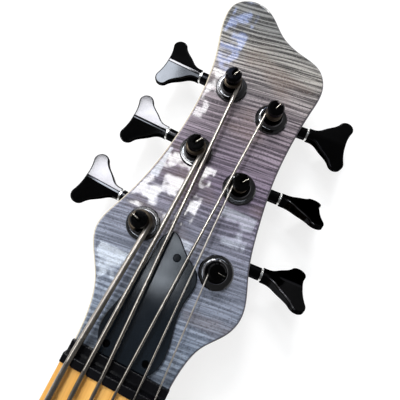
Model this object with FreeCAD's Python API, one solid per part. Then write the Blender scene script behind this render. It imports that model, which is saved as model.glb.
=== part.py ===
import FreeCAD, Part
import math
import os

# Six-string electric bass guitar, lying on its back, in millimetres.
# X runs along the strings from the saddles (x = 0) to the headstock, Y points to the bass side,
# and Z points out of the front, from the flat back of the body (z = 0).

V = FreeCAD.Vector
ORIGIN = V(0, 0, 0)
X_AXIS = V(1, 0, 0)
Y_AXIS = V(0, 1, 0)
Z_AXIS = V(0, 0, 1)
FULL_TURN = 360.0

# Scale and strings, bass string first
scale_length = 864.0
fret_count = 24
string_gauges = (3.30, 2.67, 2.16, 1.65, 1.14, 0.81)
nut_pitch = 9.0
bridge_pitch = 17.0
nut_string_height = 1.4
twelfth_fret_action = 3.2
string_seat_gap = 0.06
string_bend_radius = 14.0
winding_gap = 0.65
winding_clearance = 0.2
winding_most_turns = 3.0
ball_radius = 3.0
ball_length = 4.0

# Body
core_thickness = 40.0
top_thickness = 6.0
body_edge_round = 5.0
butt_x = -98.0
bout_half_width = 166.0
bout_x = 10.0
waist_half_width = 122.0
bass_waist_x = 165.0
treble_waist_x = 150.0
bass_horn_x = 398.0
treble_horn_x = 300.0

# Neck and fingerboard
pocket_floor = 29.0
heel_depth = 25.0
heel_start = 196.0
heel_end = 272.0
heel_blend = 45.0
pocket_clearance = 0.1
neck_depth = 16.0
neck_flat_share = 0.3
head_blend = 30.0
board_thickness = 6.0
board_end = 202.0
board_margin = 4.5
fret_width = 2.4
fret_height = 1.2
fret_tang_width = 0.7
fret_tang_depth = 1.8
fret_end_inset = 0.4
dot_radius = 3.0
dot_depth = 2.0
dot_pair_spread = 20.0
single_dot_frets = (3, 5, 7, 9, 15, 17, 19, 21)
double_dot_frets = (12, 24)

# Truss rod
rod_radius = 2.5
rod_clearance = 0.1
rod_start = 215.0
rod_depth = 1.0
rod_nut_radius = 3.4
rod_nut_length = 8.0
rod_pocket_width = 13.0
rod_pocket_length = 30.0

# Headstock, in its own frame: s along it from the nut, t towards the bass side, h above its face
head_angle = 5.0
head_thickness = 15.0
veneer_thickness = 3.0
face_drop = 5.0
head_edge_round = 1.6
head_back_round = 2.5
head_outline = (
    (20.0, 28.4), (35.0, 33.0), (48.0, 41.4), (58.5, 46.2), (77.0, 42.0), (103.0, 34.4),
    (133.0, 30.2), (163.0, 30.0), (188.0, 34.0), (211.0, 39.4), (223.0, 37.6), (229.4, 28.0),
    (227.0, 14.9), (214.0, 0.2), (207.2, -14.9), (202.4, -28.2), (192.6, -34.7), (174.0, -34.3),
    (150.0, -31.8), (122.0, -31.6), (98.0, -34.3), (71.0, -40.0), (50.0, -45.2), (41.0, -42.4),
    (28.0, -32.6), (16.0, -28.5),
)

# Nut
nut_thickness = 4.6
nut_height = 2.6
nut_shelf_length = 5.0
nut_shelf_height = 2.5
nut_slot_clearance = 0.3
nut_edge_round = 0.5

# Truss rod cover
cover_thickness = 2.2
cover_gap = 0.3
cover_end_half_width = 13.8
cover_outline = (
    (11.5, 16.8), (18.5, 18.8), (30.0, 16.6), (46.0, 13.4), (62.0, 11.6), (70.5, 10.4), (75.4, 6.2),
    (72.0, -0.4), (66.0, -7.4), (61.5, -14.0), (57.0, -16.4), (45.0, -15.4), (30.0, -16.6),
    (18.0, -18.4), (11.0, -17.4),
)
cover_screw_places = ((63.4, -1.7), (10.3, 11.1), (10.3, -11.1))
cover_screw_head = 2.2
cover_screw_radius = 1.1
cover_screw_length = 9.0

# Tuners: place on the head (s, t), splay towards the tip and turn of the key at rest, bass string first
tuner_places = (
    (72.0, 23.4, 3.0, -4.0),
    (121.8, 15.9, 1.0, 0.0),
    (167.0, 14.5, 2.0, 0.0),
    (158.6, -14.7, 4.5, -4.0),
    (112.4, -15.3, 3.0, -50.0),
    (65.6, -23.4, 3.5, -45.0),
)
# Where each post's slot points at rest, from the tip towards the treble side
post_slot_turns = (-76.0, 30.0, 27.0, 21.0, 38.0, 93.0)
running_clearance = 0.06
fixed_clearance = 0.05
post_radius = 4.6
post_top = 15.4
post_cap_height = 3.5
post_waist_radius = 2.9
post_flange_radius = 5.7
post_flange_height = 0.6
post_chamfer = 0.8
post_slot_width = 3.2
post_slot_depth = 3.1
post_hole_radius = 1.4
post_hole_depth = 4.4
post_seat_radius = 3.0
rivet_radius = 4.0
rivet_height = 1.2
washer_radius = 9.4
washer_thickness = 1.4
washer_round = 0.6
bushing_sleeve_radius = 6.35
bushing_sleeve_depth = 11.0
bushing_radius = 7.6
bushing_rim = 0.7
bushing_wall = 0.9
bushing_height = 3.2
bushing_hollow = 0.6
plate_thickness = 2.0
plate_inner = 11.2
plate_outer = 12.2
plate_nut_side = 10.0
plate_tip_margin = 4.4
plate_round = 3.0
plate_screw_inner = (-8.2, -7.0)
plate_screw_outer = (9.2, -7.0)
plate_screw_head = 2.6
plate_screw_radius = 1.4
plate_screw_length = 10.0
gear_teeth = 20
gear_pitch_radius = 6.8
gear_thickness = 4.0
worm_pitch_radius = 2.8
worm_drop = 3.7
worm_turns = 4
tooth_addendum = 0.55
tooth_dedendum = 0.75
tooth_thickness = 0.85
tooth_flank = 20.0
shaft_radius = 2.5
shaft_collar_radius = 3.3
shaft_collar_width = 0.6
journal_radius = 3.4
ear_inner = 8.6
ear_gap = 6.2
sleeve_radius = 3.9
sleeve_end = 24.8
ring_radius = 3.85
ring_width = 1.2
key_stem_radius = 3.6
key_socket_depth = 9.0
key_thickness = 7.2
key_edge_thickness = 2.8
key_ridge_width = 1.6
key_crease_round = 5.0
key_lobe_radius = 4.7
key_lobe_reach = 22.6
key_lobe_spread = 12.9
key_end_reach = 24.8
key_round = 0.9

# Bridge
bridge_front = 25.0
bridge_back = -45.0
bridge_plate_thickness = 4.0
bridge_half_width = 54.0
bridge_wall_thickness = 4.0
bridge_wall_height = 14.5
bridge_corner_round = 6.0
string_anchor_height = 10.5
saddle_width = 14.0
saddle_front = 8.0
saddle_back = -12.0
saddle_lift = 2.5
saddle_body_height = 9.5
saddle_roller_radius = 3.0
saddle_roller_flange = 0.7
saddle_groove_width = 5.0
saddle_screw_radius = 1.5
saddle_screw_spread = 8.6
intonation_screw_height = 4.6
intonation_head_radius = 2.6
intonation_head_length = 2.4

# Pickups
pickup_length = 114.0
pickup_width = 38.0
pickup_round = 5.0
pickup_edge_round = 1.5
pickup_floor = 31.0
pickup_top = 56.0
pickup_clearance = 0.3
neck_pickup_x = 150.0
bridge_pickup_x = 74.0
pickup_screw_inset = 6.0
pickup_screw_radius = 1.5
pickup_screw_head = 2.8
pickup_screw_depth = 12.0

# Controls
knob_rows = (72.0, 42.0, 12.0, -18.0)
knob_insets = (62.0, 56.0, 53.0, 53.0)
knob_radius = 9.5
knob_height = 15.0
knob_gap = 0.5
knob_skirt_height = 3.0
knob_taper = 0.8
knob_edge = 1.0
knob_bore_depth = 11.0
pot_shaft_radius = 3.0
pot_bushing_radius = 3.6
pot_body_radius = 8.2
pot_body_height = 9.0
cavity_x = (-36.0, 90.0)
cavity_inset = 30.0
cavity_width = 50.0
cavity_round = 10.0
cavity_roof = 4.0
lid_ledge = 9.0
lid_thickness = 2.5
lid_gap = 0.2
lid_screw_inset = 4.5
board_size = (52.0, 14.0, 1.6)
board_chip = (40.0, 9.0, 4.0)
battery_size = (48.0, 26.0, 17.0)

# Output jack and strap buttons
jack_x = 24.0
jack_z = 22.0
jack_bore_radius = 3.25
jack_bore_length = 30.0
jack_sleeve_radius = 6.0
jack_inner_reach = 8.0
jack_flange_radius = 10.0
jack_flange_thickness = 2.0
jack_recess_radius = 10.3
button_height = 12.0
button_base_radius = 6.0
button_waist_radius = 3.6
button_cap_radius = 8.0
button_z = 23.0
horn_button_y = 112.0
button_recess = 1.0

# Wood screws shared by the bridge, the rear lid and the strap buttons
wood_screw_head = 3.4
wood_screw_head_height = 2.0
wood_screw_radius = 1.7
wood_screw_length = 20.0

# Neck bolts
neck_screw_places = ((212.0, 26.0), (212.0, -26.0), (254.0, 25.0), (254.0, -25.0))
neck_screw_radius = 2.4
neck_screw_head = 4.8
neck_screw_head_height = 3.0
neck_screw_length = 38.0
ferrule_radius = 7.0
ferrule_depth = 7.0
ferrule_inset = 0.4

# Values that follow from the sizes above
string_count = len(string_gauges)
half_count = (string_count - 1) / 2.0
body_top_z = core_thickness + top_thickness
cavity_y = (cavity_inset - bout_half_width, cavity_inset + cavity_width - bout_half_width)
knob_places = tuple((x, inset - bout_half_width) for x, inset in zip(knob_rows, knob_insets))
neck_top = pocket_floor + heel_depth
board_top = neck_top + board_thickness
head_x = scale_length + nut_thickness
head_z = board_top - face_drop
nut_top = board_top + nut_height
nut_string_z = board_top + nut_string_height
saddle_string_z = nut_string_z + 2.0 * (twelfth_fret_action - nut_string_height)
post_waist_bottom = washer_thickness + bushing_height + post_flange_height
post_waist_top = post_top - post_cap_height
plate_bottom = -head_thickness - plate_thickness
worm_z = plate_bottom - worm_drop
worm_y = gear_pitch_radius + worm_pitch_radius
worm_lead = 2.0 * math.pi * gear_pitch_radius / gear_teeth
gear_top = worm_z + gear_thickness / 2.0
ring_start = sleeve_end
key_start = sleeve_end + ring_width
key_origin = sleeve_end + ring_width / 2.0
bore_radius = post_radius + running_clearance
head_place = FreeCAD.Placement(V(head_x, 0, head_z), FreeCAD.Rotation(Y_AXIS, head_angle))


def string_pitch(x):
    return bridge_pitch + (nut_pitch - bridge_pitch) * x / scale_length


def board_half_width(x):
    return half_count * string_pitch(x) + board_margin


def fret_x(number):
    return scale_length * 2.0 ** (-number / 12.0)


def box(x0, x1, y0, y1, z0, z1):
    return Part.makeBox(x1 - x0, y1 - y0, z1 - z0, V(x0, y0, z0))


def polygon_face(points):
    return Part.Face(Part.makePolygon(list(points) + [points[0]]))


def turned(profile):
    """A solid of revolution about Z from (radius, height) corners."""
    face = polygon_face([V(radius, 0, height) for radius, height in profile])
    return face.revolve(ORIGIN, Z_AXIS, FULL_TURN)


def cylinder(radius, start, end):
    span = end - start
    return Part.makeCylinder(radius, span.Length, start, span)


def aimed(shape, origin, direction):
    """A copy of a shape built on +Z, set at an origin with +Z along a direction."""
    result = shape.copy()
    result.Placement = FreeCAD.Placement(origin, FreeCAD.Rotation(Z_AXIS, direction))
    return result


def on_head(shape):
    """A copy of a shape built in the headstock's frame, set in place."""
    result = shape.copy()
    result.Placement = head_place.multiply(result.Placement)
    return result


def spline_face(points):
    """A face inside a smooth curve through points, closed by one straight edge."""
    curve = Part.BSplineCurve()
    curve.interpolate(points)
    straight = Part.makeLine(points[-1], points[0])
    return Part.Face(Part.Wire([curve.toShape(), straight]))


def rounded_prism(x0, x1, y0, y1, z0, z1, radius):
    block = box(x0, x1, y0, y1, z0, z1)
    uprights = [edge for edge in block.Edges if abs(edge.tangentAt(edge.FirstParameter).z) > 0.9]
    return block.makeFillet(radius, uprights)


def edges_at_height(shape, height):
    """Edges that lie in the level plane at a height."""
    level = 1.0e-4
    return [edge for edge in shape.Edges
            if abs(edge.BoundBox.ZMin - height) < level and abs(edge.BoundBox.ZMax - height) < level]


def wood_screw():
    """Wood screw with its head's underside at z = 0 and its shank along -Z."""
    return turned((
        (0, wood_screw_head_height), (wood_screw_head * 0.6, wood_screw_head_height),
        (wood_screw_head, wood_screw_head_height * 0.4), (wood_screw_head, 0),
        (wood_screw_radius, 0), (wood_screw_radius, wood_screw_radius * 2 - wood_screw_length),
        (0, -wood_screw_length),
    ))


def shank_hole(radius, length):
    return Part.makeCylinder(radius, length, ORIGIN, V(0, 0, -1))


# Body

def body_outline():
    """Closed outline of the body: one curve from the neck pocket round the butt and back."""
    bout = bout_half_width
    waist = waist_half_width
    pocket_bass = board_half_width(heel_end) + 6.0
    bass = [
        V(heel_end + 22, pocket_bass, 0), V(heel_end + 48, pocket_bass + 12, 0),
        V(bass_horn_x - 32, pocket_bass + 28, 0), V(bass_horn_x - 5, pocket_bass + 40, 0),
        V(bass_horn_x, horn_button_y, 0), V(bass_horn_x - 14, horn_button_y + 21, 0),
        V(bass_horn_x - 88, waist + 20, 0), V(bass_waist_x + 53, waist + 3, 0), V(bass_waist_x, waist, 0),
        V(bass_waist_x - 53, waist + 16, 0), V(bout_x + 48, bout - 6, 0), V(bout_x + 2, bout, 0),
        V(bout_x - 50, bout - 22, 0), V(butt_x + 24, bout * 0.56, 0),
    ]
    butt = [V(butt_x, 14, 0), V(butt_x, -14, 0)]
    treble = [
        V(butt_x + 24, -bout * 0.58, 0), V(bout_x - 50, -bout + 20, 0), V(bout_x - 2, -bout, 0),
        V(bout_x + 44, -bout + 5, 0), V(treble_waist_x - 48, -waist - 20, 0),
        V(treble_waist_x, -waist - 1, 0), V(treble_waist_x + 50, -waist - 5, 0),
        V(treble_horn_x - 30, -waist - 12, 0), V(treble_horn_x - 6, -waist - 1, 0),
        V(treble_horn_x, -waist + 16, 0), V(treble_horn_x - 18, -pocket_bass - 26, 0),
        V(heel_end - 12, -pocket_bass - 6, 0), V(heel_end, -pocket_bass + 4, 0),
    ]
    return spline_face(bass + butt + treble)


def neck_pocket(gap):
    """The neck heel's block, grown by a gap at its sides and inner end."""
    start = heel_start - gap
    end = bass_horn_x
    points = [
        V(start, board_half_width(start) + gap, 0), V(end, board_half_width(end) + gap, 0),
        V(end, -board_half_width(end) - gap, 0), V(start, -board_half_width(start) - gap, 0),
    ]
    return polygon_face(points).extrude(V(0, 0, body_top_z)).translated(V(0, 0, pocket_floor))


def pickup_block(center_x, gap, z0, z1):
    half_w = pickup_width / 2.0 + gap
    half_l = pickup_length / 2.0 + gap
    return rounded_prism(center_x - half_w, center_x + half_w, -half_l, half_l, z0, z1, pickup_round + gap)


def jack_face_y():
    """Where the jack's flange seats: a flat just inside the widest part of the lower bout."""
    return -bout_half_width + jack_flange_thickness + button_recess


def strap_button_frames():
    """Seat centre and outward direction of the butt button and the horn button."""
    return (
        (V(butt_x + button_recess, 0, button_z), V(-1, 0, 0)),
        (V(bass_horn_x - button_recess, horn_button_y, button_z), V(1, 0, 0)),
    )


def lid_box(gap):
    ledge = lid_ledge - gap
    return rounded_prism(
        cavity_x[0] - ledge, cavity_x[1] + ledge, cavity_y[0] - ledge, cavity_y[1] + ledge,
        0, lid_thickness, cavity_round + ledge)


def lid_screw_places():
    reach = cavity_round - (cavity_round + lid_screw_inset) / math.sqrt(2.0)
    return [(x, y) for x in (cavity_x[0] + reach, cavity_x[1] - reach)
            for y in (cavity_y[0] + reach, cavity_y[1] - reach)]


def bridge_screw_places():
    inset = 8.0
    spread = bridge_half_width - 2.0 * inset
    return [(bridge_front - inset, spread * share) for share in (-1.0, -0.5, 0.0, 0.5, 1.0)]


def body_cuts():
    """Everything that is routed, drilled or recessed into the body."""
    cuts = [neck_pocket(pocket_clearance)]
    for center_x in (neck_pickup_x, bridge_pickup_x):
        cuts.append(pickup_block(center_x, pickup_clearance, pickup_floor, body_top_z * 2))
        for side in (-1, 1):
            place = V(center_x, side * (pickup_length / 2.0 - pickup_screw_inset), pickup_floor)
            cuts.append(shank_hole(pickup_screw_radius, pickup_screw_depth).translated(place))
    cavity_top = body_top_z - cavity_roof
    cuts.append(rounded_prism(*cavity_x, *cavity_y, 0, cavity_top, cavity_round))
    cuts.append(lid_box(0.0))
    screw_reach = wood_screw_length + wood_screw_head_height
    for x, y in lid_screw_places():
        cuts.append(cylinder(wood_screw_radius, V(x, y, 0), V(x, y, screw_reach)))
    for x, y in knob_places:
        cuts.append(cylinder(pot_bushing_radius, V(x, y, 0), V(x, y, body_top_z * 2)))
    seat = V(jack_x, jack_face_y(), jack_z)
    cuts.append(cylinder(jack_recess_radius, seat, V(jack_x, -bout_half_width * 2, jack_z)))
    cuts.append(cylinder(jack_sleeve_radius, seat, V(jack_x, cavity_y[0] + 1, jack_z)))
    for seat, outward in strap_button_frames():
        cuts.append(cylinder(button_base_radius + 1.0, seat, seat + outward * button_base_radius))
        cuts.append(cylinder(wood_screw_radius, seat, seat - outward * wood_screw_length))
    for x, y in bridge_screw_places():
        place = V(x, y, body_top_z + bridge_plate_thickness)
        cuts.append(shank_hole(wood_screw_radius, wood_screw_length).translated(place))
    for x, y in neck_screw_places:
        cuts.append(cylinder(neck_screw_radius, V(x, y, 0), V(x, y, pocket_floor)))
        cuts.append(cylinder(ferrule_radius, V(x, y, 0), V(x, y, ferrule_depth)))
    return Part.makeCompound(cuts)


def body_parts():
    outline = body_outline()
    core = outline.extrude(V(0, 0, core_thickness))
    rim = [edge for edge in edges_at_height(core, 0.0) if edge.Length > bout_half_width]
    core = core.makeFillet(body_edge_round, rim)
    top = outline.extrude(V(0, 0, top_thickness)).translated(V(0, 0, core_thickness))
    rim = [edge for edge in edges_at_height(top, body_top_z) if edge.Length > bout_half_width]
    top = top.makeFillet(body_edge_round, rim)
    cuts = body_cuts()
    return core.cut(cuts), top.cut(cuts)


# Neck

def neck_section(x, top, bottom, half_width, rounded):
    """Closed section across the neck: flat top, sides that are curved or upright, flat bottom."""
    flat = half_width * neck_flat_share if rounded else half_width
    corners = [V(x, half_width, top), V(x, flat, bottom), V(x, -flat, bottom), V(x, -half_width, top)]
    edges = []
    for start, end, side in ((corners[0], corners[1], 1), (corners[2], corners[3], -1)):
        if rounded:
            swell = V(x, side * half_width * 0.84, top - (top - bottom) * 0.6)
            edges.append(Part.Arc(start, swell, end).toShape())
        else:
            edges.append(Part.makeLine(start, end))
    bottom_edge = Part.makeLine(corners[1], corners[2])
    top_edge = Part.makeLine(corners[3], corners[0])
    return Part.Wire([edges[0], bottom_edge, edges[1], top_edge])


def head_back_z(x):
    """Height of the headstock's back in the upright plane at x."""
    angle = math.radians(head_angle)
    along = (x - head_x + head_thickness * math.sin(angle)) / math.cos(angle)
    return head_z - along * math.sin(angle) - head_thickness * math.cos(angle)


def head_face():
    nut_half = board_half_width(scale_length)
    points = [V(-2.0, nut_half, 0), V(4.0, nut_half + 0.1, 0)]
    points += [V(s, t, 0) for s, t in head_outline]
    points += [V(4.0, -nut_half - 0.1, 0), V(-2.0, -nut_half, 0)]
    return spline_face(points)


def behind_nut():
    """Everything on the body's side of the nut's rear face."""
    reach = head_thickness * 3.0
    return box(head_x - reach, head_x, -reach * 2, reach * 2, head_z - reach * 2, head_z + reach * 2)


def tuner_frame(place):
    """Placement of a tuner's own frame: x outward along its key shaft, y to the tip, z out of the face."""
    s, t, splay, _ = place
    side = 1.0 if t > 0 else -1.0
    turn = FreeCAD.Rotation(Z_AXIS, -90.0 - side * splay)
    return head_place.multiply(FreeCAD.Placement(V(s, t, 0), turn))


def on_tuner(shape, place):
    """A copy of a shape built in a tuner's frame, mirrored for the bass side and set in place."""
    result = shape.copy()
    if place[1] > 0:
        result = result.mirror(ORIGIN, X_AXIS)
    result.Placement = tuner_frame(place).multiply(result.Placement)
    return result


def tuner_holes(radius):
    hole = Part.makeCylinder(radius, head_thickness * 2, V(0, 0, -head_thickness * 1.5))
    return [on_tuner(hole, place) for place in tuner_places]


def cover_screw_holes():
    hole = shank_hole(cover_screw_radius, cover_screw_length)
    return [on_head(hole.translated(V(s, t, cover_thickness))) for s, t in cover_screw_places]


def rod_z():
    return neck_top - rod_depth - rod_radius - rod_clearance


def rod_cuts():
    """The truss rod's channel under the fingerboard and its pocket in the headstock."""
    reach = rod_radius + rod_clearance
    channel = box(rod_start, head_x, -reach, reach, rod_z() - reach, neck_top)
    half = rod_pocket_width / 2.0
    pocket_bottom = rod_z() - rod_nut_radius - rod_clearance
    pocket = box(head_x, head_x + rod_pocket_length, -half, half, pocket_bottom, board_top)
    pocket_edge = head_x + nut_shelf_length + cover_gap + 1.0
    passage = cylinder(reach, V(head_x - 1, 0, rod_z()), V(pocket_edge, 0, rod_z()))
    pocket = pocket.cut(box(head_x, pocket_edge, -half, half, pocket_bottom, board_top))
    return [channel, pocket, passage]


def neck():
    heel = polygon_face([
        V(heel_start, board_half_width(heel_start), 0), V(heel_end, board_half_width(heel_end), 0),
        V(heel_end, -board_half_width(heel_end), 0), V(heel_start, -board_half_width(heel_start), 0),
    ]).extrude(V(0, 0, heel_depth)).translated(V(0, 0, pocket_floor))
    shaft_x = heel_end + heel_blend
    blend_x = head_x - head_blend
    shaft_bottom = neck_top - neck_depth
    sections = [
        neck_section(heel_end, neck_top, pocket_floor, board_half_width(heel_end), False),
        neck_section(shaft_x, neck_top, shaft_bottom - 2.0, board_half_width(shaft_x), True),
        neck_section(blend_x, neck_top, shaft_bottom, board_half_width(blend_x), True),
        neck_section(head_x, neck_top, head_back_z(head_x), board_half_width(scale_length), False),
    ]
    lengths = [Part.makeLoft([first, second], True, True) for first, second in zip(sections, sections[1:])]
    depth = head_thickness - veneer_thickness
    blank = head_face().extrude(V(0, 0, depth)).translated(V(0, 0, -head_thickness))
    rim = [edge for edge in edges_at_height(blank, -head_thickness) if edge.Length > head_thickness * 6]
    blank = on_head(blank.makeFillet(head_back_round, rim)).cut(behind_nut())
    shape = heel.fuse(lengths + [blank]).removeSplitter()
    cuts = rod_cuts() + tuner_holes(bushing_sleeve_radius + fixed_clearance) + cover_screw_holes()
    for x, y in neck_screw_places:
        top = ferrule_inset + neck_screw_head_height + neck_screw_length
        cuts.append(cylinder(neck_screw_radius, V(x, y, pocket_floor), V(x, y, top)))
    screw_hole = shank_hole(plate_screw_radius, plate_screw_length)
    screw_hole.rotate(ORIGIN, X_AXIS, 180.0)
    for place in tuner_places:
        for x, y in (plate_screw_inner, plate_screw_outer):
            cuts.append(on_tuner(screw_hole.translated(V(x, y, plate_bottom)), place))
    return shape.cut(Part.makeCompound(cuts))


def headstock_veneer():
    blank = head_face().extrude(V(0, 0, veneer_thickness)).translated(V(0, 0, -veneer_thickness))
    rim = [edge for edge in edges_at_height(blank, 0.0) if edge.Length > head_thickness * 6]
    shape = on_head(blank.makeFillet(head_edge_round, rim)).cut(behind_nut())
    cuts = tuner_holes(bushing_sleeve_radius + fixed_clearance) + cover_screw_holes() + rod_cuts()
    return shape.cut(Part.makeCompound(cuts))


def fret_profile(x):
    """Section of a fret: a low crown on a narrow tang."""
    half = fret_width / 2.0
    tang = fret_tang_width / 2.0
    bottom = board_top - fret_tang_depth
    corners = [
        V(x + half, 0, board_top), V(x + tang, 0, board_top), V(x + tang, 0, bottom),
        V(x - tang, 0, bottom), V(x - tang, 0, board_top), V(x - half, 0, board_top),
    ]
    crown = Part.Arc(corners[-1], V(x, 0, board_top + fret_height), corners[0]).toShape()
    return Part.Face(Part.Wire(Part.makePolygon(corners).Edges + [crown]))


def frets():
    shapes = []
    for number in range(1, fret_count + 1):
        x = fret_x(number)
        half = board_half_width(x) - fret_end_inset
        shapes.append(fret_profile(x).extrude(V(0, 2 * half, 0)).translated(V(0, -half, 0)))
    return shapes


def dot_places():
    places = []
    for number in single_dot_frets + double_dot_frets:
        middle = (fret_x(number) + fret_x(number - 1)) / 2.0
        if number in double_dot_frets:
            places += [(middle, dot_pair_spread), (middle, -dot_pair_spread)]
        else:
            places.append((middle, 0.0))
    return places


def position_dots():
    return [Part.makeCylinder(dot_radius, dot_depth, V(x, y, board_top - dot_depth)) for x, y in dot_places()]


def fingerboard():
    ends = (board_end, scale_length)
    corners = [V(x, board_half_width(x), neck_top) for x in ends]
    corners += [V(x, -board_half_width(x), neck_top) for x in reversed(ends)]
    board = polygon_face(corners).extrude(V(0, 0, board_thickness))
    slots = []
    for number in range(1, fret_count + 1):
        x = fret_x(number)
        half = board_half_width(x) - fret_end_inset
        tang = fret_tang_width / 2.0
        slots.append(box(x - tang, x + tang, -half, half, board_top - fret_tang_depth, board_top + 1))
    return board.cut(Part.makeCompound(slots + position_dots()))


def truss_rod():
    rod_end = head_x + nut_shelf_length + cover_gap + 3.0
    rod = cylinder(rod_radius, V(rod_start + rod_clearance, 0, rod_z()), V(rod_end, 0, rod_z()))
    nut_end = V(rod_end + rod_nut_length, 0, rod_z())
    hexagon = Part.makePolygon([
        V(rod_end, rod_nut_radius * math.cos(math.radians(60.0 * corner)),
          rod_z() + rod_nut_radius * math.sin(math.radians(60.0 * corner))) for corner in range(7)])
    adjuster = Part.Face(hexagon).extrude(V(rod_nut_length, 0, 0))
    return rod.fuse(adjuster.cut(cylinder(rod_radius / 2.0, V(rod_end + 2, 0, rod_z()), nut_end)))


# Nut and truss rod cover

def string_y(index, x):
    return (half_count - index) * string_pitch(x)


def post_winding(index):
    """Radius of the string's centre line on its post and height where it first touches, on the head."""
    gauge = string_gauges[index]
    radius = post_waist_radius + winding_clearance + gauge / 2.0
    height = post_waist_bottom + winding_clearance + gauge / 2.0
    return radius, height


def string_corners(index):
    """Anchor, saddle crest, nut and post tangent of a string's centre line, and the tangent's angle."""
    half = string_gauges[index] / 2.0 + string_seat_gap
    s, t, _, _ = tuner_places[index]
    radius, height = post_winding(index)
    anchor = V(bridge_back - ball_length / 2.0, string_y(index, 0),
               body_top_z + bridge_plate_thickness + string_anchor_height)
    crest_z = saddle_string_z + half
    lean = math.atan2(crest_z - anchor.z, -anchor.x) / 2.0
    crest = V(-(saddle_roller_radius + half) * math.tan(lean), string_y(index, 0), crest_z)
    nut_x = scale_length + nut_thickness / 2.0
    nut_point = V(nut_x, string_y(index, scale_length), nut_string_z + half)
    local_nut = head_place.inverse().multVec(nut_point)
    side = 1.0 if t > 0 else -1.0
    gap = V(s - local_nut.x, t - local_nut.y, 0)
    heading = math.atan2(gap.y, gap.x) - side * math.asin(radius / gap.Length)
    angle = heading - side * math.pi / 2.0
    touch = V(s + radius * math.cos(angle), t + radius * math.sin(angle), height)
    return anchor, crest, nut_point, head_place.multVec(touch), angle


def nut():
    nut_half = board_half_width(scale_length)
    block = box(scale_length, head_x, -nut_half, nut_half, neck_top, nut_top)
    block = block.makeFillet(nut_edge_round, edges_at_height(block, nut_top))
    shelf = head_face().extrude(V(0, 0, nut_shelf_height))
    reach = head_thickness * 20.0
    shelf = shelf.common(box(-1.0, nut_shelf_length, -reach, reach, -1.0, nut_shelf_height + 1.0))
    rear = [edge for edge in edges_at_height(shelf, nut_shelf_height)
            if edge.BoundBox.XMin > nut_shelf_length - 0.1]
    shelf = shelf.makeFillet(nut_edge_round, rear)
    shape = block.fuse(on_head(shelf)).removeSplitter()
    for index in range(string_count):
        _, _, nut_point, touch, _ = string_corners(index)
        half = string_gauges[index] / 2.0
        run = touch - nut_point
        rear_x = nut_point.x + nut_thickness + nut_shelf_length
        drop = run.z / run.x * (rear_x - nut_point.x)
        width = string_gauges[index] + nut_slot_clearance
        low = nut_point.z - half - string_seat_gap
        side_view = [
            V(scale_length - 1, 0, low), V(nut_point.x, 0, low), V(rear_x, 0, low + drop),
            V(rear_x, 0, nut_top + 1), V(scale_length - 1, 0, nut_top + 1),
        ]
        slot = polygon_face(side_view).extrude(V(0, width, 0))
        shape = shape.cut(slot.translated(V(0, nut_point.y - width / 2.0, 0)))
    return shape


def truss_rod_cover():
    start = nut_shelf_length + cover_gap
    points = [V(start, cover_end_half_width, 0)] + [V(s, t, 0) for s, t in cover_outline]
    points.append(V(start, -cover_end_half_width, 0))
    plate = spline_face(points).extrude(V(0, 0, cover_thickness))
    plate = plate.makeFillet(cover_thickness * 0.3, edges_at_height(plate, cover_thickness))
    for s, t in cover_screw_places:
        sink = turned((
            (0, -cover_thickness), (cover_screw_radius, -cover_thickness), (cover_screw_radius, -1.4),
            (cover_screw_head, 0), (cover_screw_head, 1), (0, 1),
        ))
        plate = plate.cut(sink.translated(V(s, t, cover_thickness)))
    return on_head(plate)


def cover_screws():
    screw = turned(((0, -0.3), (cover_screw_head - 0.55, -0.3), (cover_screw_radius, -1.4),
                    (cover_screw_radius, 1.0 - cover_screw_length), (0, -cover_screw_length)))
    return [on_head(screw.translated(V(s, t, cover_thickness))) for s, t in cover_screw_places]


# Tuners, each in its own frame

def tuner_washer():
    return turned((
        (bushing_sleeve_radius + fixed_clearance, 0), (washer_radius, 0),
        (washer_radius, washer_thickness - washer_round), (washer_radius - washer_round, washer_thickness),
        (bushing_sleeve_radius + fixed_clearance, washer_thickness),
    ))


def tuner_bushing():
    """Bushing with a sleeve in the head under a bell-shaped collar on the washer."""
    top = washer_thickness + bushing_height
    rim = V(bushing_radius, 0, washer_thickness + bushing_rim)
    lip = V(bore_radius + bushing_wall, 0, top)
    middle = (rim + lip) * 0.5 - V(bushing_hollow, 0, bushing_hollow)
    below = [
        V(bore_radius, 0, -bushing_sleeve_depth), V(bushing_sleeve_radius, 0, -bushing_sleeve_depth),
        V(bushing_sleeve_radius, 0, washer_thickness), V(bushing_radius, 0, washer_thickness), rim,
    ]
    above = [lip, V(bore_radius, 0, top), below[0]]
    bell = Part.Arc(rim, middle, lip).toShape()
    edges = Part.makePolygon(below).Edges + [bell] + Part.makePolygon(above).Edges
    return Part.Face(Part.Wire(edges)).revolve(ORIGIN, Z_AXIS, FULL_TURN)


def tuner_post(slot_turn):
    flange_bottom = washer_thickness + bushing_height
    waist_swell = (post_radius - post_waist_radius) / 2.0
    gear_bottom = gear_top - gear_thickness
    body = turned((
        (0, gear_bottom - rivet_height), (rivet_radius, gear_bottom - rivet_height),
        (rivet_radius, gear_bottom),
        (post_seat_radius, gear_bottom), (post_seat_radius, gear_top), (post_radius, gear_top),
        (post_radius, flange_bottom), (post_flange_radius, flange_bottom),
        (post_flange_radius, post_waist_bottom), (post_waist_radius, post_waist_bottom),
        (post_waist_radius, post_waist_top), (post_radius - waist_swell * 0.2, post_waist_top),
        (post_radius, post_waist_top + waist_swell * 0.4), (post_radius, post_top - post_chamfer),
        (post_radius - post_chamfer, post_top), (0, post_top),
    ))
    half = post_slot_width / 2.0
    slot = box(-half, half, 0, post_radius * 2, post_top - post_slot_depth, post_top + 1)
    slot.rotate(ORIGIN, Z_AXIS, slot_turn)
    hole = Part.makeCylinder(post_hole_radius, post_hole_depth + 1, V(0, 0, post_top - post_hole_depth))
    return body.cut(slot).cut(hole)


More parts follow.
